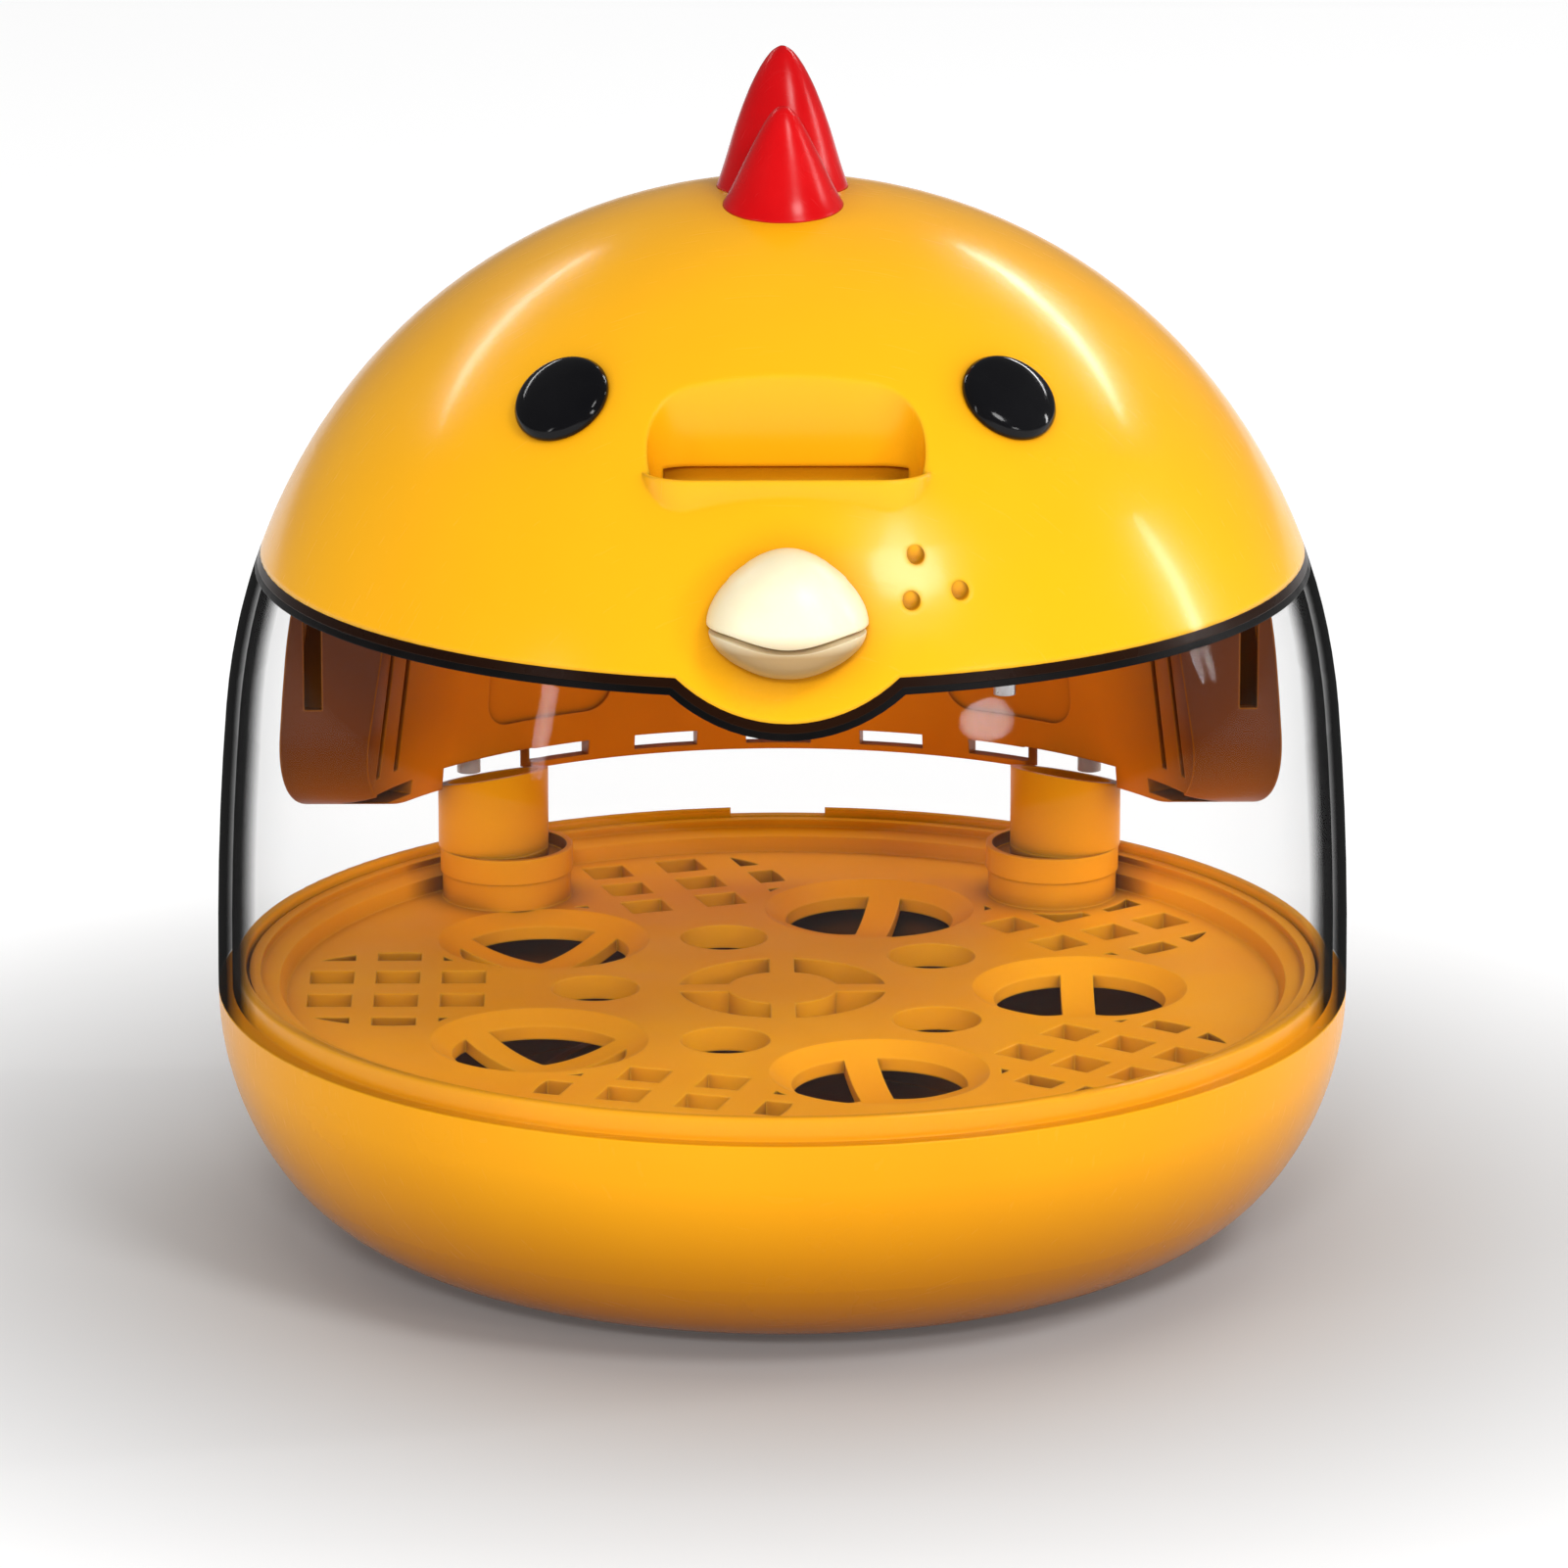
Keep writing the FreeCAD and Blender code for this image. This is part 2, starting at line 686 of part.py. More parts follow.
def eye(side):
    point, normal = crown_point(side * eye_x, eye_y)
    radius = (eye_radius ** 2 + eye_bulge ** 2) / (2 * eye_bulge)
    ball = Part.makeSphere(radius, point + normal * (eye_bulge - radius))
    cap = ball.common(rod(point - normal * 2, point + normal * 9, eye_radius)).cut(skin(0, 0))
    peg = rod(point - normal * peg_length, point + normal * 0.5, peg_radius)
    return fuse([cap, peg])


beak_pegs = (mouth_height + beak_peg_rise, mouth_height - beak_peg_rise)


def beak(height, up):
    """Half of a stretched ball that lies across the face, cut by the mouth and seated on the dome."""
    mouth = mouth_height + up * mouth_gap / 2
    centre = beak_tip_y + height
    stretch = FreeCAD.Matrix()
    stretch.scale(beak_half_width / height, 1, 1)
    body = Part.makeSphere(height).transformGeometry(stretch)
    body.translate(Vector(0, centre, mouth))
    low, high = (mouth, far) if up > 0 else (0, mouth)
    body = body.common(box((-far, -far, low), (far, far, high))).cut(skin(0, 0))
    z = beak_pegs[0] if up > 0 else beak_pegs[1]
    peg = rod(Vector(0, centre, z), Vector(0, peg_length + dome_wall - skin_radius(z), z), peg_radius)
    body = fuse([body, peg])
    return body.cut(rod(Vector(0, centre - 2, z), Vector(0, 0, z), peg_screw_core))


def beak_screws():
    screws = []
    for z in beak_pegs:
        end = -skin_radius(z) + dome_wall + peg_length
        shank = rod(Vector(0, end - screw_bite, z), Vector(0, end + 1, z), peg_screw_core)
        head = rod(Vector(0, end, z), Vector(0, end + screw_head_height, z), screw_head)
        screws.append(fuse([shank, head]))
    return Part.makeCompound(screws)


# Clear shell and the rings between it and the dome

def skin_band(outer_margin, inner_margin, wall):
    band = skin(0, ledge_height).cut(skin(wall, ledge_height - 1))
    return band.common(above_seam(outer_margin)).cut(above_seam(inner_margin))


def clear_shell():
    wall = skin(0, ledge_height + rest_gap).cut(skin(shell_wall, ledge_height - 1))
    return wall.cut(above_seam(trim_width + seal_width))


# Rear hood: inner wall, outer skin, floor and two slitted end faces

hood_top = deck_bottom


def hood_inner(grow):
    """Cone inside the hood's inner wall, grown outwards."""
    span = hood_top - hood_bottom
    slope = (hood_inner_low - hood_inner_high) / span
    low, high = hood_bottom - 5, hood_top + 5
    return Part.makeCone(hood_inner_low + slope * 5 + grow, hood_inner_high - slope * 5 + grow,
                         high - low, Vector(0, 0, low))


def hood_side(inset):
    """Outline of the hood from the side, its lower front corner rounded, extruded across."""
    front, radius = hood_front_y + inset, hood_corner - inset
    corner = (hood_front_y + hood_corner, hood_bottom + hood_corner)
    points = [Vector(0, corner[0] + radius * math.cos(a), corner[1] + radius * math.sin(a))
              for a in (math.pi, math.pi * 1.25, math.pi * 1.5)]
    edges = [
        Part.makeLine(Vector(0, front, hood_top + 1), points[0]),
        Part.Arc(*points).toShape(),
        Part.makeLine(points[2], Vector(0, far, points[2].z)),
        Part.makeLine(Vector(0, far, points[2].z), Vector(0, far, hood_top + 1)),
        Part.makeLine(Vector(0, far, hood_top + 1), Vector(0, front, hood_top + 1)),
    ]
    face = Part.Face(Part.Wire(edges))
    face.translate(Vector(-far, 0, 0))
    return face.extrude(Vector(2 * far, 0, 0))


def rear_hood():
    gap = shell_wall + hood_gap
    body = skin(gap, 0).cut(hood_inner(0)).common(hood_side(0))
    body = body.cut(cylinder(far, hood_top, far))
    hollow = skin(gap + hood_wall, 0).cut(hood_inner(hood_wall)).common(hood_side(hood_wall))
    hollow = hollow.cut(cylinder(far, 0, hood_floor + hood_wall))
    hood = body.cut(hollow)
    reach = hood_inner_low * math.cos(math.radians(pipe_angle)) + collar_radius
    under = ring(far, hood_inner_low + hood_wall + 0.5, 0, hood_floor)
    hood = hood.cut(under.common(box((-reach, 0, 0), (reach, far, hood_floor))))
    for k in range(windows):
        angle = 90 + (k - (windows - 1) / 2) * window_pitch
        window = box((hood_inner_low - 12, -window_width / 2, window_low),
                     (waist_radius + 5, window_width / 2, window_high))
        hood = hood.cut(turned(window, angle))
    for angle, width in ((58, 27), (122, 27), (90, 34)):
        pad = box((hood_inner_low - 20, -width / 2, window_high + 6),
                  (hood_inner_low + 20, width / 2, hood_top - 18))
        across = [e for e in pad.Edges if e.BoundBox.XLength > 39]
        pad = turned(pad.makeFillet(5, across), angle)
        hood = hood.cut(pad.common(hood_inner(panel_recess)))
    for angle in (26.5, 31):
        slit = box((hood_inner_low - 20, -slit_width / 2, hood_floor + hood_wall + 1),
                   (hood_inner_low + hood_wall + 1, slit_width / 2, hood_top - 22))
        for a in (angle, 180 - angle):
            hood = hood.cut(turned(slit, a))
    middle = (hood_inner_low + waist_radius) / 2
    x = math.sqrt(middle ** 2 - hood_front_y ** 2) - 2
    for side in (-1, 1):
        slot = box((side * x - slit_width, hood_front_y - 2, hood_bottom + 22),
                   (side * x + slit_width, hood_front_y + hood_wall + 1, hood_bottom + 44))
        hood = hood.cut(slot)
    for angle in (pipe_angle, 180 - pipe_angle):
        p = polar(pipe_circle, angle)
        hood = hood.cut(cylinder(pipe_radius + hood_pipe_gap, 0, hood_floor, p.x, p.y))
    for nozzle_at in nozzle_points():
        hood = hood.cut(cylinder(nozzle_radius, 0, hood_floor + 5, nozzle_at.x, nozzle_at.y))
    return hood


nozzle_circle = hood_inner_low + hood_wall + nozzle_radius + 0.5


def nozzle_points():
    return polar(nozzle_circle, pipe_angle), polar(nozzle_circle, 180 - pipe_angle)


def nozzle():
    p = nozzle_points()[0]
    stem = ring(nozzle_radius, nozzle_bore, nozzle_tip, nozzle_top, p.x, p.y)
    collar = ring(nozzle_radius + 1, nozzle_bore, hood_floor + hood_wall, hood_floor + hood_wall + 1.5,
                  p.x, p.y)
    return fuse([stem, collar])


# Water channels on the deck, and the hoses that drop behind the hood's inner wall

deck_top = deck_bottom + deck_thickness
deck_radius = skin_radius(deck_bottom, dome_wall) - deck_gap
tank_spout_x = hopper_width / 2 - hopper_corner
channel_circle = math.hypot(tank_spout_x, hopper_centre_y)
spout_circle = (skin_radius(deck_top + channel_height, dome_wall) - channel_width / 2
                - channel_to_dome)


def channel_path(margin, low, high):
    """Quarter ring and a leg out to the spout, set in by a margin."""
    half = channel_width / 2 - margin
    band = ring(channel_circle + half, channel_circle - half, low, high)
    start = math.degrees(math.atan2(hopper_centre_y, tank_spout_x)) - 3
    wedge = Part.makeCylinder(far, high - low + 2, Vector(0, 0, low - 1), Vector(0, 0, 1),
                              pipe_angle - start)
    band = band.common(turned(wedge, start + math.degrees(margin / channel_circle)))
    leg = box((channel_circle - half, -half, low), (spout_circle + half, half, high))
    return fuse([band, turned(leg, pipe_angle)])


def water_channel():
    body = channel_path(0, deck_top, deck_top + channel_height)
    body = body.cut(channel_path(channel_wall, deck_top + channel_wall, deck_top + channel_height + 1))
    p = polar(spout_circle, pipe_angle)
    body = body.fuse(cylinder(nozzle_radius, deck_bottom - spout_length, deck_top + 0.5, p.x, p.y))
    return body.cut(cylinder(nozzle_bore, 0, far, p.x, p.y)).removeSplitter()


def hose():
    """Soft tube pushed over the channel's spout and the nozzle."""
    top = polar(spout_circle, pipe_angle, deck_bottom - 1)
    knee_high = polar(spout_circle, pipe_angle, deck_bottom - spout_length - 1)
    knee_low = polar(nozzle_circle, pipe_angle, nozzle_top + 1)
    bottom = polar(nozzle_circle, pipe_angle, nozzle_top - 6)
    outer = nozzle_radius + hose_wall
    pieces, bores = [], []
    for a, b in ((top, knee_high), (knee_high, knee_low), (knee_low, bottom)):
        pieces.append(rod(a, b, outer))
        bores.append(rod(a, b, nozzle_radius))
    for knee in (knee_high, knee_low):
        pieces.append(Part.makeSphere(outer, knee))
        bores.append(Part.makeSphere(nozzle_radius, knee))
    solid = fuse(pieces)
    for bore in bores:
        solid = solid.cut(bore)
    return solid


# Deck, fan and heater

fan_hole = fan_size / 2 - 5


def fan_deck():
    deck = cylinder(deck_radius, deck_bottom, deck_top)
    standoffs = [cylinder(boss_radius - 1, deck_top, board_low, x, y) for x, y in board_corners()]
    deck = fuse([deck] + standoffs)
    holes = [cylinder(fan_bore / 2, 0, far)]
    for angle in boss_angles:
        p = polar(boss_circle, angle)
        holes.append(cylinder(screw_radius + screw_clear, 0, far, p.x, p.y))
    holes += [cylinder(screw_radius, 0, far, x, y) for x, y in fan_corners() + board_corners()]
    for angle in (pipe_angle, 180 - pipe_angle):
        p = polar(spout_circle, angle)
        holes.append(cylinder(nozzle_radius, 0, far, p.x, p.y))
    holes.append(cylinder(probe_radius, 0, far, probe_x, 0))
    holes += [cylinder(heater_wire, 0, far, x, y) for x, y in heater_leads()]
    holes.append(box((-peg_radius * 2, -far, 0), (peg_radius * 2, -deck_radius + 9, far)))
    for x in range(-2, 3):      # air inlet to the duct
        slot = box((x * 12 - 4, hood_inner_high + hood_wall + 2, 0), (x * 12 + 4, deck_radius - 5, far))
        holes.append(slot)
    for hole in holes:
        deck = deck.cut(hole)
    return deck


def fan_corners():
    return [(x * fan_hole, y * fan_hole) for x in (-1, 1) for y in (-1, 1)]


def fan_frame():
    low, high = deck_top, deck_top + fan_height
    half = fan_size / 2
    block = box((-half, -half, low), (half, half, high))
    upright = [e for e in block.Edges if e.BoundBox.ZLength > fan_height / 2]
    block = block.makeFillet(4, upright).cut(cylinder(fan_bore / 2, 0, far))
    struts = [turned(box((0, -1.5, low), (half - 1, 1.5, low + 2)), a) for a in (60, 180, 300)]
    cup = cylinder(fan_hub_radius - 1, low, low + 2.5)
    bearing = cylinder(shaft_radius + 2, low, low + 5)
    frame = fuse([block] + struts + [cup, bearing])
    frame = frame.cut(cylinder(shaft_radius + shaft_clearance, low + 1, far))
    for x, y in fan_corners():
        frame = frame.cut(cylinder(screw_radius + screw_clear, 0, far, x, y))
    return frame


def fan_rotor():
    """Hub cup and twisted blades about a steel shaft."""
    low, high = deck_top + 3.2, deck_top + fan_height - 1
    hub = cylinder(fan_hub_radius, low, high).cut(cylinder(fan_hub_radius - 1.2, low - 1, high - 1.5))
    core = cylinder(shaft_radius + 2, low + 2.6, high - 1)
    tip = fan_bore / 2 - fan_tip_gap
    span = tip - fan_hub_radius + 1
    pieces = [hub, core]
    for k in range(blades):
        blade = box((0, -8, -0.7), (span, 8, 0.7))
        blade.rotate(Vector(0, 0, 0), Vector(1, 0, 0), 34)
        blade.translate(Vector(fan_hub_radius - 1, 0, (low + high) / 2))
        pieces.append(turned(blade, 360 * k / blades))
    rotor = fuse(pieces).common(cylinder(tip, low, high))
    return rotor.cut(cylinder(shaft_radius, low - 1, high - 1.5))


def fan_shaft():
    return cylinder(shaft_radius, deck_top + 1.3, deck_top + fan_height - 2.5)


def screws(points, low, high, head_low, head_high, radius):
    return Part.makeCompound([
        cylinder(radius, low, high, x, y).fuse(cylinder(screw_head, head_low, head_high, x, y))
        for x, y in points
    ])


def fan_guard():
    """Ring grille under the deck's opening."""
    low, high = deck_bottom - guard_wire * 1.5, deck_bottom
    outer = fan_bore / 2 + 3
    rim = ring(outer, fan_bore / 2 - 0.5, low, high)
    pitch = (fan_bore / 2) / guard_rings
    rings = [ring(k * pitch, k * pitch - guard_wire, low, high) for k in range(1, guard_rings)]
    spokes = [turned(box((0, -guard_wire, low), (fan_bore / 2, guard_wire, high)), a)
              for a in (0, 90, 180, 270)]
    return fuse([rim] + rings + spokes)


def heater_leads():
    return [(heater_circle + d, -lead_offset) for d in (0, heater_pitch)]


def heater_coil():
    """Two rings in one plane, joined beside the gap, with both leads up through the deck."""
    z = deck_bottom - heater_drop
    gate = box((0, -lead_offset, z - 5), (far, lead_offset, z + 5))
    pieces = []
    for radius in (heater_circle, heater_circle + heater_pitch):
        pieces.append(Part.makeTorus(radius, heater_wire, Vector(0, 0, z)).cut(gate))
        pieces.append(Part.makeSphere(heater_wire, Vector(radius, lead_offset, z)))
        pieces.append(Part.makeSphere(heater_wire, Vector(radius, -lead_offset, z)))
    pieces.append(rod(Vector(heater_circle, lead_offset, z),
                      Vector(heater_circle + heater_pitch, lead_offset, z), heater_wire))
    pieces += [cylinder(heater_wire, z, deck_top + 2, x, y) for x, y in heater_leads()]
    return fuse(pieces)


def heater_clips():
    """Bars under both rings, each hung from the deck on a post between them."""
    z = deck_bottom - heater_drop
    inner, outer = heater_circle - heater_wire, heater_circle + heater_pitch + heater_wire
    bar = box((inner, -2, z - heater_wire - 1.2), (outer, 2, z - heater_wire))
    middle = heater_circle + heater_pitch / 2
    post = box((middle - 1, -2, z - heater_wire - 0.5), (middle + 1, 2, deck_bottom))
    clip = fuse([bar, post])
    return Part.makeCompound([turned(clip, a) for a in (60, 180, 300)])


def thermal_cutout():
    z = deck_bottom
    can = cylinder(6, z - 5, z, -heater_circle - 3.5, heater_circle * 0.8)
    legs = [box((-heater_circle - 3.5 - 1, heater_circle * 0.8 + s * 3 - 0.6, z - 8),
                (-heater_circle - 3.5 + 1, heater_circle * 0.8 + s * 3 + 0.6, z - 4)) for s in (-1, 1)]
    return fuse([can] + legs)


# Electronics at the back of the head

board_low = deck_top + board_standoff
board_high = board_low + board_size[2]


def board_corners():
    x, y = board_size[0] / 2 - 4, board_size[1] / 2 - 4
    return [(s * x, board_centre_y + t * y) for s in (-1, 1) for t in (-1, 1)]


def board_box(x, y, width, depth, height):
    return box((x - width / 2, board_centre_y + y - depth / 2, board_high),
               (x + width / 2, board_centre_y + y + depth / 2, board_high + height))


def control_board():
    half_x, half_y = board_size[0] / 2, board_size[1] / 2
    board = box((-half_x, board_centre_y - half_y, board_low),
                (half_x, board_centre_y + half_y, board_high))
    for x, y in board_corners():
        board = board.cut(cylinder(screw_radius + screw_clear, 0, far, x, y))
    return board


def board_parts():
    return Part.makeCompound([
        board_box(-14, -2, 15, 12, 10),
        board_box(4, -4, 9, 9, 2),
        board_box(16, -2, 8, 10, 7),
        cylinder(4, board_high, board_high + 9, 14, board_centre_y + 9),
        cylinder(3, board_high, board_high + 7, -14, board_centre_y + 9),
    ])


def dc_socket():
    outer = skin_radius(socket_height)
    face = outer - 0.6
    back = face - socket_length
    body = rod(Vector(0, back, socket_height), Vector(0, face, socket_height), socket_radius)
    flange = rod(Vector(0, face - 0.4, socket_height), Vector(0, face + 2, socket_height),
                 socket_radius + 1.6)
    body = fuse([body, flange.cut(skin(0, 0))])
    bore_end = face - socket_depth
    body = body.cut(rod(Vector(0, bore_end, socket_height), Vector(0, far, socket_height), socket_bore))
    pin = rod(Vector(0, bore_end - 0.5, socket_height), Vector(0, face - 1, socket_height), socket_pin)
    return fuse([body, pin])


def socket_nut():
    face = skin_radius(socket_height + nut_radius, dome_wall) - peg_fit
    corners = [Vector(nut_radius * math.cos(a), 0, nut_radius * math.sin(a))
               for a in [math.radians(60 * k) for k in range(7)]]
    nut = Part.Face(Part.Wire(Part.makePolygon(corners).Edges)).extrude(Vector(0, nut_height, 0))
    nut.translate(Vector(0, face - nut_height, socket_height))
    return nut.cut(rod(Vector(0, 0, socket_height), Vector(0, far, socket_height), socket_radius))


def power_button():
    point, normal = button_place()
    inner = point - normal * (dome_wall + button_depth)
    stem = rod(inner, point + normal * button_rise, button_radius)
    flange = rod(inner, inner + normal * button_flange, button_radius + 1.5)
    return fuse([stem, flange])


def button_switch():
    """Small switch under the button, on a post from the board."""
    point, normal = button_place()
    top = point - normal * (dome_wall + button_depth + button_travel + button_gap)
    body = rod(top - normal * 4, top, button_radius)
    box_round = body.BoundBox
    post = box((-3, box_round.YMin + 1, board_high), (3, box_round.YMin + 4.5, box_round.ZMin + 3))
    return fuse([body, post])


def temperature_probe():
    return cylinder(probe_radius, deck_bottom - probe_length, deck_top + 2, probe_x, 0)


def probe_clip():
    return ring(probe_radius + 1.6, probe_radius, deck_bottom - 4, deck_bottom, probe_x, 0)


def pair(name, shape):
    """A piece on the right, at +X, and its mirror image on the left."""
    save("right_" + name, shape)
    save("left_" + name, mirrored(shape))


def main():
    save("base_bowl", base_bowl())
    save("rubber_feet", rubber_feet())
    save("water_pan", water_pan())
    save("egg_tray", egg_tray())
    pipe, groove = water_pipe()
    pair("water_pipe", pipe)
    save("pipe_seals", Part.makeCompound([groove, mirrored(groove)]))
    save("dome_shell", dome_shell())
    save("hopper_tank", hopper_tank())
    save("crest", crest())
    save("crest_screws", crest_screws())
    pair("eye", eye(1))
    save("upper_beak", beak(upper_beak_height, 1))
    save("lower_beak", beak(lower_beak_height, -1))
    save("beak_screws", beak_screws())
    save("trim_ring", skin_band(trim_width, 0, dome_wall))
    save("shell_seal", skin_band(trim_width + seal_width, trim_width, shell_wall))
    save("clear_shell", clear_shell())
    save("rear_hood", rear_hood())
    pair("nozzle", nozzle())
    pair("water_channel", water_channel())
    pair("hose", hose())
    save("fan_deck", fan_deck())
    bosses = [(p.x, p.y) for p in (polar(boss_circle, a) for a in boss_angles)]
    save("deck_screws", screws(bosses, deck_bottom - 0.5, deck_top + 8, deck_bottom - 2, deck_bottom,
                               screw_radius))
    save("fan_frame", fan_frame())
    save("fan_rotor", fan_rotor())
    save("fan_shaft", fan_shaft())
    fan_top = deck_top + fan_height
    save("fan_screws", screws(fan_corners(), deck_bottom - 1, fan_top + 0.5, fan_top, fan_top + 2,
                              screw_radius))
    save("fan_guard", fan_guard())
    save("heater_coil", heater_coil())
    save("heater_clips", heater_clips())
    save("thermal_cutout", thermal_cutout())
    save("control_board", control_board())
    save("board_parts", board_parts())
    save("board_screws", screws(board_corners(), deck_top, board_high + 0.5, board_high,
                                board_high + 2, screw_radius))
    save("dc_socket", dc_socket())
    save("socket_nut", socket_nut())
    save("power_button", power_button())
    save("button_switch", button_switch())
    save("temperature_probe", temperature_probe())
    save("probe_clip", probe_clip())


main()
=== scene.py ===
import json
import math

import bpy
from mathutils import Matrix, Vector


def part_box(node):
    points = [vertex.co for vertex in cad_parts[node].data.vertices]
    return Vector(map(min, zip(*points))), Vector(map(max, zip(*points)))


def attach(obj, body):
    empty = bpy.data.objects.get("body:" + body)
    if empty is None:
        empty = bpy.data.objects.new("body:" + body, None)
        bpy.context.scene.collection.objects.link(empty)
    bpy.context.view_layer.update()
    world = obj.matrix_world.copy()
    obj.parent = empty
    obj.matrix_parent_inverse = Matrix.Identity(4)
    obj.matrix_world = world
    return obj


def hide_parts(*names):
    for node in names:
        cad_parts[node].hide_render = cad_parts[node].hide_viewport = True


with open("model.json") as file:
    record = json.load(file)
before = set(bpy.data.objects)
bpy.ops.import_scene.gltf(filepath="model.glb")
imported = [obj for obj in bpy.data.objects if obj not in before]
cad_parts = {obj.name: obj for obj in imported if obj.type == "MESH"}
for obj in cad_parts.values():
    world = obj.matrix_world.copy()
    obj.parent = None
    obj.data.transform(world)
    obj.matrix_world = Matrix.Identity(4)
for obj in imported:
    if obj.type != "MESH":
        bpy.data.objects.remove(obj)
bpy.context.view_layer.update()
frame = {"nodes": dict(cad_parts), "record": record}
print("frame loaded:", len(frame["nodes"]), "nodes")


# Node helpers

def addNode(tree, kind, settings=None, **sockets):
    node = tree.nodes.new(kind)
    for key, value in (settings or {}).items():
        setattr(node, key, value)
    for key, value in sockets.items():
        node.inputs[key.replace("_", " ")].default_value = value
    return node


def join(tree, source, target):
    tree.links.new(source, target)


def noiseField(tree, place, scale, detail=2.0, stretch=None):
    # noise on object coordinates; stretch squeezes it along each axis
    field = addNode(tree, "ShaderNodeTexNoise", Scale=scale, Detail=detail, Roughness=0.55)
    source = place.outputs["Object"]
    if stretch:
        mapping = addNode(tree, "ShaderNodeMapping", Scale=stretch, Rotation=(0.3, 0.5, 0.9))
        join(tree, source, mapping.inputs["Vector"])
        source = mapping.outputs["Vector"]
    join(tree, source, field.inputs["Vector"])
    return field.outputs["Fac"]


def spread(tree, value, low, high, toLow, toHigh):
    span = addNode(tree, "ShaderNodeMapRange", {"clamp": True})
    for socket, number in zip(("From Min", "From Max", "To Min", "To Max"), (low, high, toLow, toHigh)):
        span.inputs[socket].default_value = number
    join(tree, value, span.inputs["Value"])
    return span.outputs["Result"]


def blendColours(tree, share, first, second):
    mix = addNode(tree, "ShaderNodeMix", {"data_type": "RGBA"})
    join(tree, share, mix.inputs[0])
    for socket, colour in ((mix.inputs[6], first), (mix.inputs[7], second)):
        if isinstance(colour, (tuple, list)):
            socket.default_value = (*colour, 1.0)
        else:
            join(tree, colour, socket)
    return mix.outputs[2]


def combine(tree, operation, first, second):
    node = addNode(tree, "ShaderNodeMath", {"operation": operation})
    for socket, value in zip(node.inputs, (first, second)):
        if isinstance(value, (int, float)):
            socket.default_value = value
        else:
            join(tree, value, socket)
    return node.outputs[0]


skin = {
    "wearFrom": 0.995, "wearTo": 0.85,                              # cosine between soft and true normal
    "scratchScale": 60.0, "scratchStretch": (1.0, 34.0, 3.0), "scratchEdge": (0.66, 0.74), "scratchDepth": 0.35,
    "cloudEdge": (0.35, 0.7), "dullEdge": (0.3, 0.75), "dullScale": 3.1, "grainDepth": 0.0002,
    # the two recess settings on the next line shape the painted shade in recesses
    "shadeInRecessEdge": (0.3, 0.88), "shadeInRecessShare": 0.95, "coatRoughness": 0.1, "glowReach": (0.004, 0.002, 0.0005),
}


def edgeWear(tree, radius):
    # a softened normal for every edge, and how far it leans from the true one
    soft = addNode(tree, "ShaderNodeBevel", {"samples": 6}, Radius=radius)
    true = addNode(tree, "ShaderNodeNewGeometry")
    dot = addNode(tree, "ShaderNodeVectorMath", {"operation": "DOT_PRODUCT"})
    join(tree, soft.outputs["Normal"], dot.inputs[0])
    join(tree, true.outputs["Normal"], dot.inputs[1])
    return soft.outputs["Normal"], spread(tree, dot.outputs["Value"], skin["wearFrom"], skin["wearTo"], 0.0, 1.0)


def startMaterial(name):
    material = bpy.data.materials.new(name)
    material.use_nodes = True
    tree = material.node_tree
    return material, tree, tree.nodes["Principled BSDF"], addNode(tree, "ShaderNodeTexCoord")


# Moulded plastic: clouded colour, painted shade in recesses and along one axis, fine texture in the skin, hairline
# scratches, dulled patches, rubbed edges

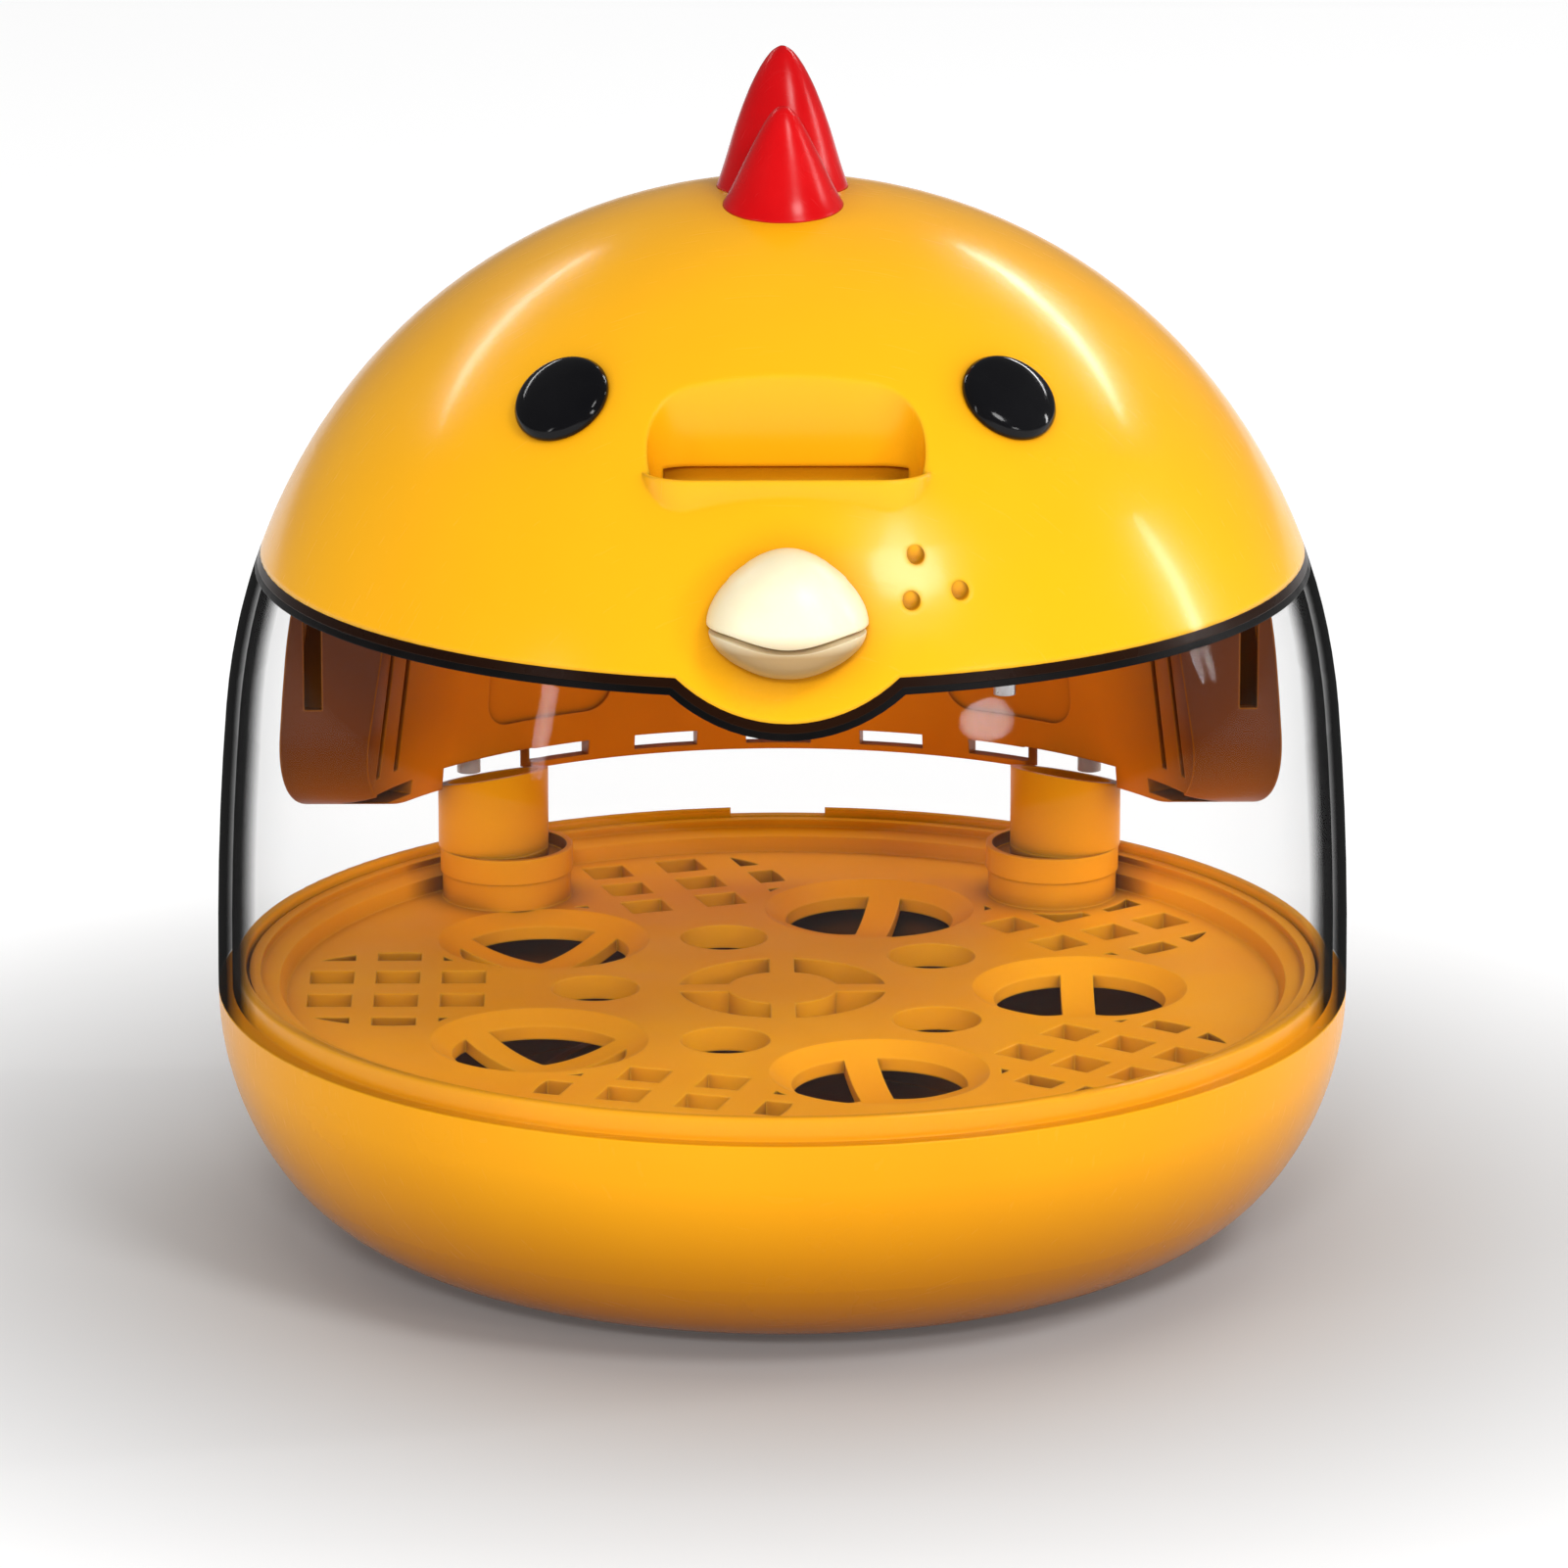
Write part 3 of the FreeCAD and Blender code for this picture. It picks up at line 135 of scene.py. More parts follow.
def mouldedPlastic(name, finish):
    material, tree, shader, place = startMaterial(name)
    cloud = noiseField(tree, place, finish["cloudScale"], 3.0)
    colour = blendColours(tree, spread(tree, cloud, *skin["cloudEdge"], 0.0, 1.0),
                          finish["colour"], finish["cloudColour"])
    # painted shade: the colour turns to a darker shaded colour along one axis
    if "shadeFade" in finish:
        axis, start, end, shadedColour = finish["shadeFade"]
        split = addNode(tree, "ShaderNodeSeparateXYZ")
        join(tree, place.outputs["Object"], split.inputs["Vector"])
        colour = blendColours(tree, spread(tree, split.outputs[axis], start, end, 0.0, 1.0), colour, shadedColour)
    if "shadeInRecess" in finish:      # painted shade: darker where the plastic sees little around it
        shut = addNode(tree, "ShaderNodeAmbientOcclusion", {"samples": 4}, Distance=finish["shadeInRecessReach"])
        recessShade = spread(tree, shut.outputs["AO"], *skin["shadeInRecessEdge"], skin["shadeInRecessShare"], 0.0)
        colour = blendColours(tree, recessShade, colour, finish["shadeInRecess"])
    scratches = noiseField(tree, place, skin["scratchScale"], 2.0, skin["scratchStretch"])
    scratches = spread(tree, scratches, *skin["scratchEdge"], 0.0, 1.0)
    dulled = noiseField(tree, place, finish["cloudScale"] * skin["dullScale"], 4.0)
    rough = spread(tree, dulled, *skin["dullEdge"], *finish["gloss"])
    rough = combine(tree, "ADD", rough, combine(tree, "MULTIPLY", scratches, finish["scratch"]))
    normal, edge = edgeWear(tree, finish["edgeRadius"])
    colour = blendColours(tree, combine(tree, "MULTIPLY", edge, finish["edgeShare"]), colour, finish["edgeColour"])
    join(tree, colour, shader.inputs["Base Color"])
    join(tree, rough, shader.inputs["Roughness"])
    grain = noiseField(tree, place, finish["grainScale"], 2.0)
    height = combine(tree, "SUBTRACT", grain, combine(tree, "MULTIPLY", scratches, skin["scratchDepth"]))
    bump = addNode(tree, "ShaderNodeBump", Strength=finish["grain"], Distance=skin["grainDepth"])
    join(tree, height, bump.inputs["Height"])
    join(tree, normal, bump.inputs["Normal"])
    join(tree, bump.outputs["Normal"], shader.inputs["Normal"])
    shader.inputs["Specular IOR Level"].default_value = finish.get("specular", 0.5)
    shader.inputs["Coat Weight"].default_value = finish.get("coat", 0.0)
    shader.inputs["Coat Roughness"].default_value = skin["coatRoughness"]
    shader.inputs["Subsurface Weight"].default_value = finish.get("glow", 0.0)
    shader.inputs["Subsurface Radius"].default_value = skin["glowReach"]
    shader.inputs["Subsurface Scale"].default_value = 1.0
    shader.inputs["Metallic"].default_value = finish.get("metal", 0.0)
    return material


plastics = {
    "domeYellow": {
        "slot": "dome_yellow", "colour": (1.0, 0.47, 0.006), "cloudColour": (0.97, 0.44, 0.005),
        "edgeColour": (1.0, 0.6, 0.03), "cloudScale": 14.0, "gloss": (0.2, 0.28), "scratch": 0.1,
        "edgeRadius": 0.0013, "edgeShare": 0.25, "grainScale": 900.0, "grain": 0.03, "specular": 0.2, "coat": 0.14,
        # painted shade colour for the dome's hollows, such as the hopper groove
        "shadeInRecess": (0.3, 0.08, 0.002), "shadeInRecessReach": 0.007,
    },
    "baseOrange": {
        "slot": "base_orange", "colour": (0.95, 0.4, 0.004), "cloudColour": (0.9, 0.36, 0.004),
        "edgeColour": (1.0, 0.55, 0.02), "cloudScale": 12.0, "gloss": (0.2, 0.3), "scratch": 0.12,
        "edgeRadius": 0.0006, "edgeShare": 0.4, "grainScale": 900.0, "grain": 0.03, "specular": 0.12, "coat": 0.04,
        # painted shade: the base turns darker towards the bottom
        "shadeFade": ("Z", 0.038, 0.004, (0.42, 0.12, 0.001)),
    },
    "trayOrange": {
        "slot": "tray_orange", "colour": (1.0, 0.42, 0.008), "cloudColour": (0.95, 0.36, 0.007),
        "edgeColour": (1.0, 0.5, 0.03), "cloudScale": 26.0, "gloss": (0.28, 0.42), "scratch": 0.16,
        "edgeRadius": 0.0005, "edgeShare": 0.7, "grainScale": 1500.0, "grain": 0.09, "specular": 0.06,
        # painted shade colour in the tray's holes and hollows
        "shadeInRecess": (0.14, 0.03, 0.001), "shadeInRecessReach": 0.007,
    },
    # the pan's brown is darkened well past its own colour: partly painted shade, for the pan seen in shade through
    # the windows
    "panBrownAndShade": {
        "slot": "pan_brown", "colour": (0.16, 0.045, 0.004), "cloudColour": (0.11, 0.03, 0.003),
        "edgeColour": (0.4, 0.14, 0.01), "cloudScale": 20.0, "gloss": (0.3, 0.45), "scratch": 0.15,
        "edgeRadius": 0.0005, "edgeShare": 0.5, "grainScale": 1500.0, "grain": 0.08,
    },
    "hoodAmber": {
        "slot": "hood_amber", "colour": (0.95, 0.3, 0.008), "cloudColour": (0.78, 0.22, 0.005),
        "edgeColour": (0.75, 0.25, 0.01), "cloudScale": 17.0, "gloss": (0.3, 0.4), "scratch": 0.12,
        "edgeRadius": 0.0006, "edgeShare": 0.5, "grainScale": 900.0, "grain": 0.04, "specular": 0.22,
        # painted shade colour in the hood's recesses
        "shadeInRecess": (0.12, 0.03, 0.001), "shadeInRecessReach": 0.005,
        # painted shade: the hood turns dark brown towards the front
        "shadeFade": ("Y", 0.056, 0.031, (0.14, 0.03, 0.001)),
    },
    "trimSmoke": {
        "slot": "trim_smoke", "colour": (0.018, 0.006, 0.002), "cloudColour": (0.012, 0.004, 0.002),
        "edgeColour": (0.05, 0.018, 0.004), "cloudScale": 30.0, "gloss": (0.25, 0.35), "scratch": 0.1,
        "edgeRadius": 0.0002, "edgeShare": 0.4, "grainScale": 1200.0, "grain": 0.05, "specular": 0.08,
    },
    "combRed": {
        "slot": "comb_red", "colour": (0.62, 0.003, 0.005), "cloudColour": (0.5, 0.002, 0.004),
        "edgeColour": (0.9, 0.03, 0.02), "cloudScale": 40.0, "gloss": (0.2, 0.3), "scratch": 0.12,
        "edgeRadius": 0.0006, "edgeShare": 0.4, "grainScale": 1100.0, "grain": 0.05, "specular": 0.2,
    },
    "eyeBlack": {
        "slot": "eye_black", "colour": (0.004, 0.004, 0.005), "cloudColour": (0.007, 0.007, 0.008),
        "edgeColour": (0.02, 0.02, 0.02), "cloudScale": 60.0, "gloss": (0.07, 0.13), "scratch": 0.1,
        "edgeRadius": 0.0004, "edgeShare": 0.4, "grainScale": 1400.0, "grain": 0.02, "specular": 0.16,
    },
    "beakCream": {
        "slot": "beak_cream", "colour": (0.95, 0.85, 0.6), "cloudColour": (0.9, 0.78, 0.5),
        "edgeColour": (0.97, 0.9, 0.7), "cloudScale": 45.0, "gloss": (0.3, 0.42), "scratch": 0.1,
        "edgeRadius": 0.0004, "edgeShare": 0.4, "grainScale": 1300.0, "grain": 0.06, "glow": 0.1,
        # painted shade: the beak turns a darker tan below the mouth
        "shadeFade": ("Z", 0.1365, 0.1325, (0.4, 0.25, 0.1)),
    },
    "sealBlack": {
        "slot": "seal_black", "colour": (0.003, 0.003, 0.003), "cloudColour": (0.006, 0.005, 0.005),
        "edgeColour": (0.015, 0.014, 0.013), "cloudScale": 60.0, "gloss": (0.35, 0.5), "scratch": 0.1,
        "edgeRadius": 0.0003, "edgeShare": 0.4, "grainScale": 1600.0, "grain": 0.12, "specular": 0.08,
    },
    "footRubber": {
        "slot": "foot_rubber", "colour": (0.03, 0.03, 0.03), "cloudColour": (0.05, 0.048, 0.045),
        "edgeColour": (0.09, 0.088, 0.08), "cloudScale": 90.0, "gloss": (0.65, 0.85), "scratch": 0.1,
        "edgeRadius": 0.0005, "edgeShare": 0.6, "grainScale": 2200.0, "grain": 0.35,
    },
    "screwSteel": {
        "slot": "screw_steel", "colour": (0.56, 0.56, 0.58), "cloudColour": (0.44, 0.43, 0.42),
        "edgeColour": (0.75, 0.75, 0.76), "cloudScale": 160.0, "gloss": (0.24, 0.4), "scratch": 0.2,
        "edgeRadius": 0.0002, "edgeShare": 0.7, "grainScale": 2200.0, "grain": 0.1, "metal": 1.0,
    },
    "fanBlack": {
        "slot": "fan_black", "colour": (0.018, 0.018, 0.02), "cloudColour": (0.026, 0.026, 0.028),
        "edgeColour": (0.07, 0.07, 0.072), "cloudScale": 50.0, "gloss": (0.4, 0.55), "scratch": 0.12,
        "edgeRadius": 0.0004, "edgeShare": 0.5, "grainScale": 2400.0, "grain": 0.25,
    },
    "heaterSteel": {
        "slot": "heater_steel", "colour": (0.5, 0.46, 0.41), "cloudColour": (0.36, 0.27, 0.2),
        "edgeColour": (0.6, 0.57, 0.53), "cloudScale": 70.0, "gloss": (0.25, 0.45), "scratch": 0.2,
        "edgeRadius": 0.0002, "edgeShare": 0.5, "grainScale": 2000.0, "grain": 0.1, "metal": 1.0,
    },
    "chipDark": {
        "slot": "chip_dark", "colour": (0.025, 0.025, 0.028), "cloudColour": (0.04, 0.04, 0.042),
        "edgeColour": (0.09, 0.09, 0.09), "cloudScale": 120.0, "gloss": (0.4, 0.55), "scratch": 0.12,
        "edgeRadius": 0.0002, "edgeShare": 0.5, "grainScale": 2600.0, "grain": 0.2,
    },
    "nozzleWhite": {
        "slot": "nozzle_white", "colour": (0.78, 0.77, 0.73), "cloudColour": (0.7, 0.68, 0.62),
        "edgeColour": (0.86, 0.85, 0.82), "cloudScale": 60.0, "gloss": (0.3, 0.42), "scratch": 0.12,
        "edgeRadius": 0.0003, "edgeShare": 0.5, "grainScale": 1700.0, "grain": 0.08, "glow": 0.1,
    },
    "hoseSilicone": {
        "slot": "hose_silicone", "colour": (0.7, 0.7, 0.66), "cloudColour": (0.6, 0.6, 0.55),
        "edgeColour": (0.8, 0.8, 0.77), "cloudScale": 80.0, "gloss": (0.38, 0.52), "scratch": 0.08,
        "edgeRadius": 0.0003, "edgeShare": 0.3, "grainScale": 1500.0, "grain": 0.1, "glow": 0.3,
    },
    "buttonWhite": {
        "slot": "button_white", "colour": (0.82, 0.82, 0.79), "cloudColour": (0.74, 0.73, 0.69),
        "edgeColour": (0.9, 0.9, 0.88), "cloudScale": 90.0, "gloss": (0.22, 0.32), "scratch": 0.12,
        "edgeRadius": 0.0004, "edgeShare": 0.5, "grainScale": 1500.0, "grain": 0.06,
    },
}
finishes = {finish["slot"]: mouldedPlastic(name, finish) for name, finish in plastics.items()}


# Clear shell: polished sheet that darkens only where it is seen nearly edge on

clearShell = {
    "seen": ((0.0, 0.995), (0.35, 0.99), (0.55, 0.975), (0.72, 0.93), (0.79, 0.4), (0.84, 0.02)),
    "gloss": (0.02, 0.06), "straight": 0.006, "grazing": 0.02, "wipeScale": 9.0,
    "wipeStretch": (1.0, 1.0, 5.0), "wipeEdge": (0.35, 0.7), "ripple": 0.02, "rippleDepth": 0.0002,
    "glanceCurve": 5.0,
}                       # seen: how far the surface turns away, and the light that one crossing leaves


def clearPlastic(name, finish):
    material, tree, shader, place = startMaterial(name)
    tree.nodes.remove(shader)
    output = tree.nodes["Material Output"]
    layer = addNode(tree, "ShaderNodeLayerWeight", Blend=0.5)
    tint = addNode(tree, "ShaderNodeValToRGB")
    while len(tint.color_ramp.elements) < len(finish["seen"]):
        tint.color_ramp.elements.new(1.0)
    for stop, (turn, left) in zip(tint.color_ramp.elements, finish["seen"]):
        stop.position, stop.color = turn, (left, left, left, 1.0)
    join(tree, layer.outputs["Facing"], tint.inputs["Fac"])
    wipes = noiseField(tree, place, finish["wipeScale"], 4.0, finish["wipeStretch"])
    through = addNode(tree, "ShaderNodeBsdfTransparent")
    join(tree, tint.outputs["Color"], through.inputs["Color"])
    mirror = addNode(tree, "ShaderNodeBsdfGlossy", Color=(1.0, 1.0, 1.0, 1.0))
    join(tree, spread(tree, wipes, *finish["wipeEdge"], *finish["gloss"]), mirror.inputs["Roughness"])
    bump = addNode(tree, "ShaderNodeBump", Strength=finish["ripple"], Distance=finish["rippleDepth"])
    join(tree, wipes, bump.inputs["Height"])
    join(tree, bump.outputs["Normal"], mirror.inputs["Normal"])
    glancing = combine(tree, "POWER", layer.outputs["Facing"], finish["glanceCurve"])
    reflected = spread(tree, glancing, 0.0, 1.0, finish["straight"], finish["grazing"])
    mix = addNode(tree, "ShaderNodeMixShader")
    join(tree, reflected, mix.inputs[0])
    join(tree, through.outputs[0], mix.inputs[1])
    join(tree, mirror.outputs[0], mix.inputs[2])
    join(tree, mix.outputs[0], output.inputs["Surface"])
    return material


finishes["clear_smoke"] = clearPlastic("clearShell", clearShell)


# Circuit board: solder mask over tracks

boardGreen = {
    "mask": (0.01, 0.13, 0.045), "track": (0.02, 0.2, 0.07), "pitch": 260.0, "stagger": 0.37, "gap": 0.03,
    "grainScale": 400.0, "gloss": (0.25, 0.4), "relief": 0.3, "reliefDepth": 0.0001,
}


def circuitBoard(name, finish):
    material, tree, shader, place = startMaterial(name)
    tracks = addNode(tree, "ShaderNodeTexBrick", {"offset": finish["stagger"]}, Scale=finish["pitch"])
    tracks.inputs["Color1"].default_value = (1, 1, 1, 1)
    tracks.inputs["Color2"].default_value = (0.6, 0.6, 0.6, 1)
    tracks.inputs["Mortar"].default_value = (0, 0, 0, 1)
    tracks.inputs["Mortar Size"].default_value = finish["gap"]
    join(tree, place.outputs["Object"], tracks.inputs["Vector"])
    join(tree, blendColours(tree, tracks.outputs["Color"], finish["mask"], finish["track"]),
         shader.inputs["Base Color"])
    grain = noiseField(tree, place, finish["grainScale"], 3.0)
    join(tree, spread(tree, grain, 0.3, 0.7, *finish["gloss"]), shader.inputs["Roughness"])
    bump = addNode(tree, "ShaderNodeBump", Strength=finish["relief"], Distance=finish["reliefDepth"])
    join(tree, tracks.outputs["Color"], bump.inputs["Height"])
    join(tree, bump.outputs["Normal"], shader.inputs["Normal"])
    return material


finishes["board_green"] = circuitBoard("boardGreen", boardGreen)

slotOf = {row["node"]: row["material_slot"] for row in frame["record"]["subparts"]}
for nodeName, node in frame["nodes"].items():
    node.data.materials.clear()
    node.data.materials.append(finishes["trim_smoke" if nodeName == "trim_ring" else slotOf[nodeName]])
print("finishes on", len(slotOf), "nodes")


# Modelling helpers

def startEdit():
    bpy.ops.object.mode_set(mode="EDIT")
    bpy.ops.mesh.select_all(action="SELECT")


def pickVertices(piece, test):
    # leaves exactly the vertices that pass the test selected, in vertex mode
    bpy.ops.mesh.select_mode(type="VERT")
    bpy.ops.mesh.select_all(action="DESELECT")
    bpy.ops.object.mode_set(mode="OBJECT")
    for vertex in piece.data.vertices:
        vertex.select = test(vertex.co)
    bpy.ops.object.mode_set(mode="EDIT")


def settle(piece, name):
    # back to object mode, with the place in the mesh and the faces outwards
    bpy.ops.object.mode_set(mode="EDIT")
    bpy.ops.mesh.select_all(action="SELECT")
    bpy.ops.mesh.normals_make_consistent(inside=False)
    bpy.ops.object.mode_set(mode="OBJECT")
    bpy.ops.object.transform_apply(location=True, rotation=True, scale=True)
    piece.name = name
    return piece


def applyModifier(piece, kind, **settings):
    bpy.ops.object.select_all(action="DESELECT")
    piece.select_set(True)
    bpy.context.view_layer.objects.active = piece
    modifier = piece.modifiers.new(kind.lower(), kind)
    for key, value in settings.items():
        setattr(modifier, key, value)
    bpy.ops.object.modifier_apply(modifier=modifier.name)


def joinPieces(pieces):
    bpy.ops.object.select_all(action="DESELECT")
    for piece in pieces:
        piece.select_set(True)
    bpy.context.view_layer.objects.active = pieces[0]
    bpy.ops.object.join()
    return pieces[0]


def turnedForm(name, foot, axis, outline, sides=72, lean=(0, 0, 0)):
    # a disc drawn out along its axis ring by ring; outline holds (distance along, radius)
    bpy.ops.object.select_all(action="DESELECT")
    along, radius = outline[0]
    centre = foot + axis * along
    bpy.ops.mesh.primitive_circle_add(vertices=sides, radius=radius, fill_type="NGON", location=centre,
                                      rotation=axis.to_track_quat("Z", "Y").to_euler())
    piece = bpy.context.object
    startEdit()
    for nextAlong, nextRadius in outline[1:]:
        step = axis * (nextAlong - along) + Vector(lean) * (nextAlong - along)
        bpy.ops.mesh.extrude_region_move(TRANSFORM_OT_translate={"value": step})
        centre = centre + step
        share = nextRadius / radius
        bpy.ops.transform.resize(value=(share, share, share), center_override=centre)
        along, radius = nextAlong, nextRadius
    return settle(piece, name)


def finishPiece(piece, slot, *nodes):
    bpy.ops.object.select_all(action="DESELECT")
    piece.select_set(True)
    bpy.context.view_layer.objects.active = piece
    bpy.ops.object.shade_smooth_by_angle(angle=math.radians(40))
    piece.data.materials.clear()
    piece.data.materials.append(finishes[slot])
    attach(piece, "lid")
    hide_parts(*nodes)


domeNode = frame["nodes"]["dome_shell"]
crown = {"radius": 0.09894}
crown["centre"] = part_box("dome_shell")[1].z - crown["radius"]


def faceAt(x, z):
    # front of the dome at a place
    return domeNode.ray_cast(Vector((x, -0.3, z)), Vector((0, 1, 0)))[1]


# Comb: two drawn-out lobes that melt into each other, hollowed to sit on the crown

comb = {
    "rear": {"y": 0.0025, "foot": 0.0119, "tip": 0.2173, "lean": 0.07},
    "front": {"y": -0.0098, "foot": 0.0108, "tip": 0.2095, "lean": -0.052},
    "sunk": 0.003, "melt": 0.0005, "smoothing": 26, "cutterSegments": 160, "cutterRings": 80,
}
combOutlines = {        # share of the height from the tip down, share of the foot's radius
    "rear": ((1.0, 1.06), (0.93, 1.0), (0.814, 0.905), (0.7, 0.825), (0.547, 0.72), (0.41, 0.61),
             (0.285, 0.495), (0.2, 0.4), (0.14, 0.325), (0.09, 0.25), (0.05, 0.18), (0.02, 0.1), (0.004, 0.03)),
    "front": ((1.0, 1.14), (0.93, 1.02), (0.814, 0.89), (0.7, 0.79), (0.547, 0.66), (0.41, 0.54),
              (0.285, 0.425), (0.2, 0.345), (0.14, 0.28), (0.09, 0.22), (0.05, 0.165), (0.02, 0.1), (0.004, 0.03)),
}


def makeComb(sizes):
    foot = crown["centre"] + crown["radius"] - sizes["sunk"]
    lobes = []
    for lobeName in ("rear", "front"):
        lobe = sizes[lobeName]
        rise = lobe["tip"] - foot
        outline = [(rise * (1 - down), lobe["foot"] * out) for down, out in combOutlines[lobeName]]
        lobes.append(turnedForm(lobeName + "Lobe", Vector((0, lobe["y"], foot)), Vector((0, 0, 1)), outline,
                                lean=(0, lobe["lean"], 0)))
    piece = joinPieces(lobes)
    applyModifier(piece, "REMESH", mode="VOXEL", voxel_size=sizes["melt"])
    applyModifier(piece, "SMOOTH", factor=0.5, iterations=sizes["smoothing"])
    bpy.ops.object.select_all(action="DESELECT")
    bpy.ops.mesh.primitive_uv_sphere_add(segments=sizes["cutterSegments"], ring_count=sizes["cutterRings"],
                                         radius=crown["radius"], location=(0, 0, crown["centre"]))
    cutter = bpy.context.object
    applyModifier(piece, "BOOLEAN", operation="DIFFERENCE", solver="EXACT", object=cutter)
    bpy.data.objects.remove(cutter)
    piece.name = "chickComb"
    finishPiece(piece, "comb_red", "crest")


makeComb(comb)
print("comb made")


# Eyes: glossy buttons with a rolled rim, each on its peg

eyes = {
    "x": 0.0386, "y": -0.0547, "radius": 0.00875, "bulge": 0.003, "rim": 0.0007,
    "peg": 0.0025, "pegLength": 0.005, "pegTaper": 0.84, "pegChamfer": 0.0004, "rings": 9,
    "seat": -0.0008, "rimFoot": -0.0002, "rimMiddle": 0.0003, "rimTop": 0.0007, "shoulder": 0.0010,
}


def makeEye(name, side, node):
    x, y = side * eyes["x"], eyes["y"]
    normal = Vector((x, y, math.sqrt(crown["radius"] ** 2 - x * x - y * y))).normalized()
    seat = Vector((0, 0, crown["centre"])) + normal * crown["radius"]
    rim, bulge, radius = eyes["rim"], eyes["bulge"], eyes["radius"]
    outline = [(-eyes["pegLength"], eyes["peg"] * eyes["pegTaper"]),
               (-eyes["pegLength"] + eyes["pegChamfer"], eyes["peg"]),
               (eyes["seat"], eyes["peg"]), (eyes["seat"], radius - rim),
               (eyes["rimFoot"], radius - rim * 0.1), (eyes["rimMiddle"], radius),
               (eyes["rimTop"], radius - rim * 0.12), (eyes["shoulder"], radius - rim * 0.5)]
    for step in range(1, eyes["rings"] + 1):
        turn = math.pi / 2 * step / eyes["rings"]
        outline.append((eyes["shoulder"] + (bulge - eyes["shoulder"]) * math.sin(turn),
                        max((radius - rim * 0.5) * math.cos(turn), 0.0001)))
    finishPiece(turnedForm(name, seat, normal, outline), "eye_black", node)


makeEye("eyeButtonRight", 1, "right_eye")
makeEye("eyeButtonLeft", -1, "left_eye")
print("eyes made")


# Beak: two halves of one rounded wedge, with a mouth that dips in the middle

beak = {
    "mouth": 0.1353, "gap": 0.0008, "tip": -0.1020, "dip": 0.0017, "dipReach": 0.0125, "lip": 0.0005,
    "backing": 0.0015, "peg": 0.0025, "pegRise": 0.0045, "pegLength": 0.005, "pegTaper": 0.85,
    "pegChamfer": 0.0004, "pegSunk": 0.002, "rows": 14, "narrowCurve": 1.6, "dipPick": (0.0012, 0.0005),
    "lipAngle": 50,
    "upper": {"halfWidth": 0.01385, "height": 0.0128, "depth": 0.0122, "narrow": 0.24},
    "lower": {"halfWidth": 0.01345, "height": 0.0078, "depth": 0.0098, "narrow": 0.12},
}


def makeBeakHalf(name, side, half, node):
    level = beak["mouth"] + side * beak["gap"] / 2
    middle = Vector((0, beak["tip"] + half["depth"], level))
    bpy.ops.object.select_all(action="DESELECT")
    bpy.ops.mesh.primitive_uv_sphere_add(segments=72, ring_count=44, radius=1.0, location=middle,
                                         scale=(half["halfWidth"], half["depth"], half["height"]))
    bpy.ops.object.transform_apply(location=True, rotation=True, scale=True)
    piece = bpy.context.object
    startEdit()
    bpy.ops.mesh.bisect(plane_co=middle, plane_no=(0, 0, side), clear_inner=True, use_fill=True)
    low, high = faceAt(0, beak["mouth"]), faceAt(0, beak["mouth"] + side * half["height"])
    back = low + Vector((0, beak["backing"], 0))
    slope = (high - low).normalized()
    facing = Vector((0, -abs(slope.z), slope.y * (1 if slope.z > 0 else -1)))
    bpy.ops.mesh.select_all(action="SELECT")
    bpy.ops.mesh.bisect(plane_co=back, plane_no=facing, clear_inner=True, use_fill=True)
    rows = beak["rows"]
    for row in range(1, rows + 1):              # narrower towards the tip of the half
        near, far = (row - 0.5) / rows, (row + 0.5) / rows
        share = 1 - half["narrow"] * (row / rows) ** beak["narrowCurve"]
        pickVertices(piece, lambda at: near <= abs(at.z - level) / half["height"] < far)
        bpy.ops.transform.resize(value=(share, 1, 1), center_override=middle)
    across, above = beak["dipPick"]
    pickVertices(piece, lambda at: abs(at.z - level) < above and abs(at.x) < across)
    bpy.ops.transform.translate(value=(0, 0, -beak["dip"]), use_proportional_edit=True,
                                proportional_edit_falloff="SMOOTH", proportional_size=beak["dipReach"])
    settle(piece, name)
    applyModifier(piece, "BEVEL", width=beak["lip"], segments=3, limit_method="ANGLE",
                  angle_limit=math.radians(beak["lipAngle"]))
    bpy.ops.object.mode_set(mode="EDIT")        # both cuts fanned from their middles, so they always split alike
    bpy.ops.mesh.select_mode(type="FACE")
    bpy.ops.mesh.select_all(action="DESELECT")
    bpy.ops.mesh.select_face_by_sides(number=4, type="GREATER", extend=False)
    bpy.ops.mesh.poke()
    bpy.ops.object.mode_set(mode="OBJECT")
    pegFoot = Vector((0, back.y + beak["pegLength"], beak["mouth"] + side * beak["pegRise"]))
    pegOutline = [(0, beak["peg"] * beak["pegTaper"]), (beak["pegChamfer"], beak["peg"]),
                  (beak["pegLength"] + beak["pegSunk"], beak["peg"])]
    peg = turnedForm(name + "Peg", pegFoot, Vector((0, -1, 0)), pegOutline, 32)
    finishPiece(joinPieces([piece, peg]), "beak_cream", node)


makeBeakHalf("beakUpper", 1, beak["upper"], "upper_beak")
makeBeakHalf("beakLower", -1, beak["lower"], "lower_beak")
print("beak made")


# Floor

floorSheet = {
    "size": 6.0, "colour": (0.42, 0.42, 0.42), "specular": 0.1, "gloss": (0.55, 0.65),
    "lift": 0.68, "paintedShadowLift": 0.06, "reach": (0.09, 0.24),     # its own light grows with the distance, leaving a painted shadow under and around the object
}


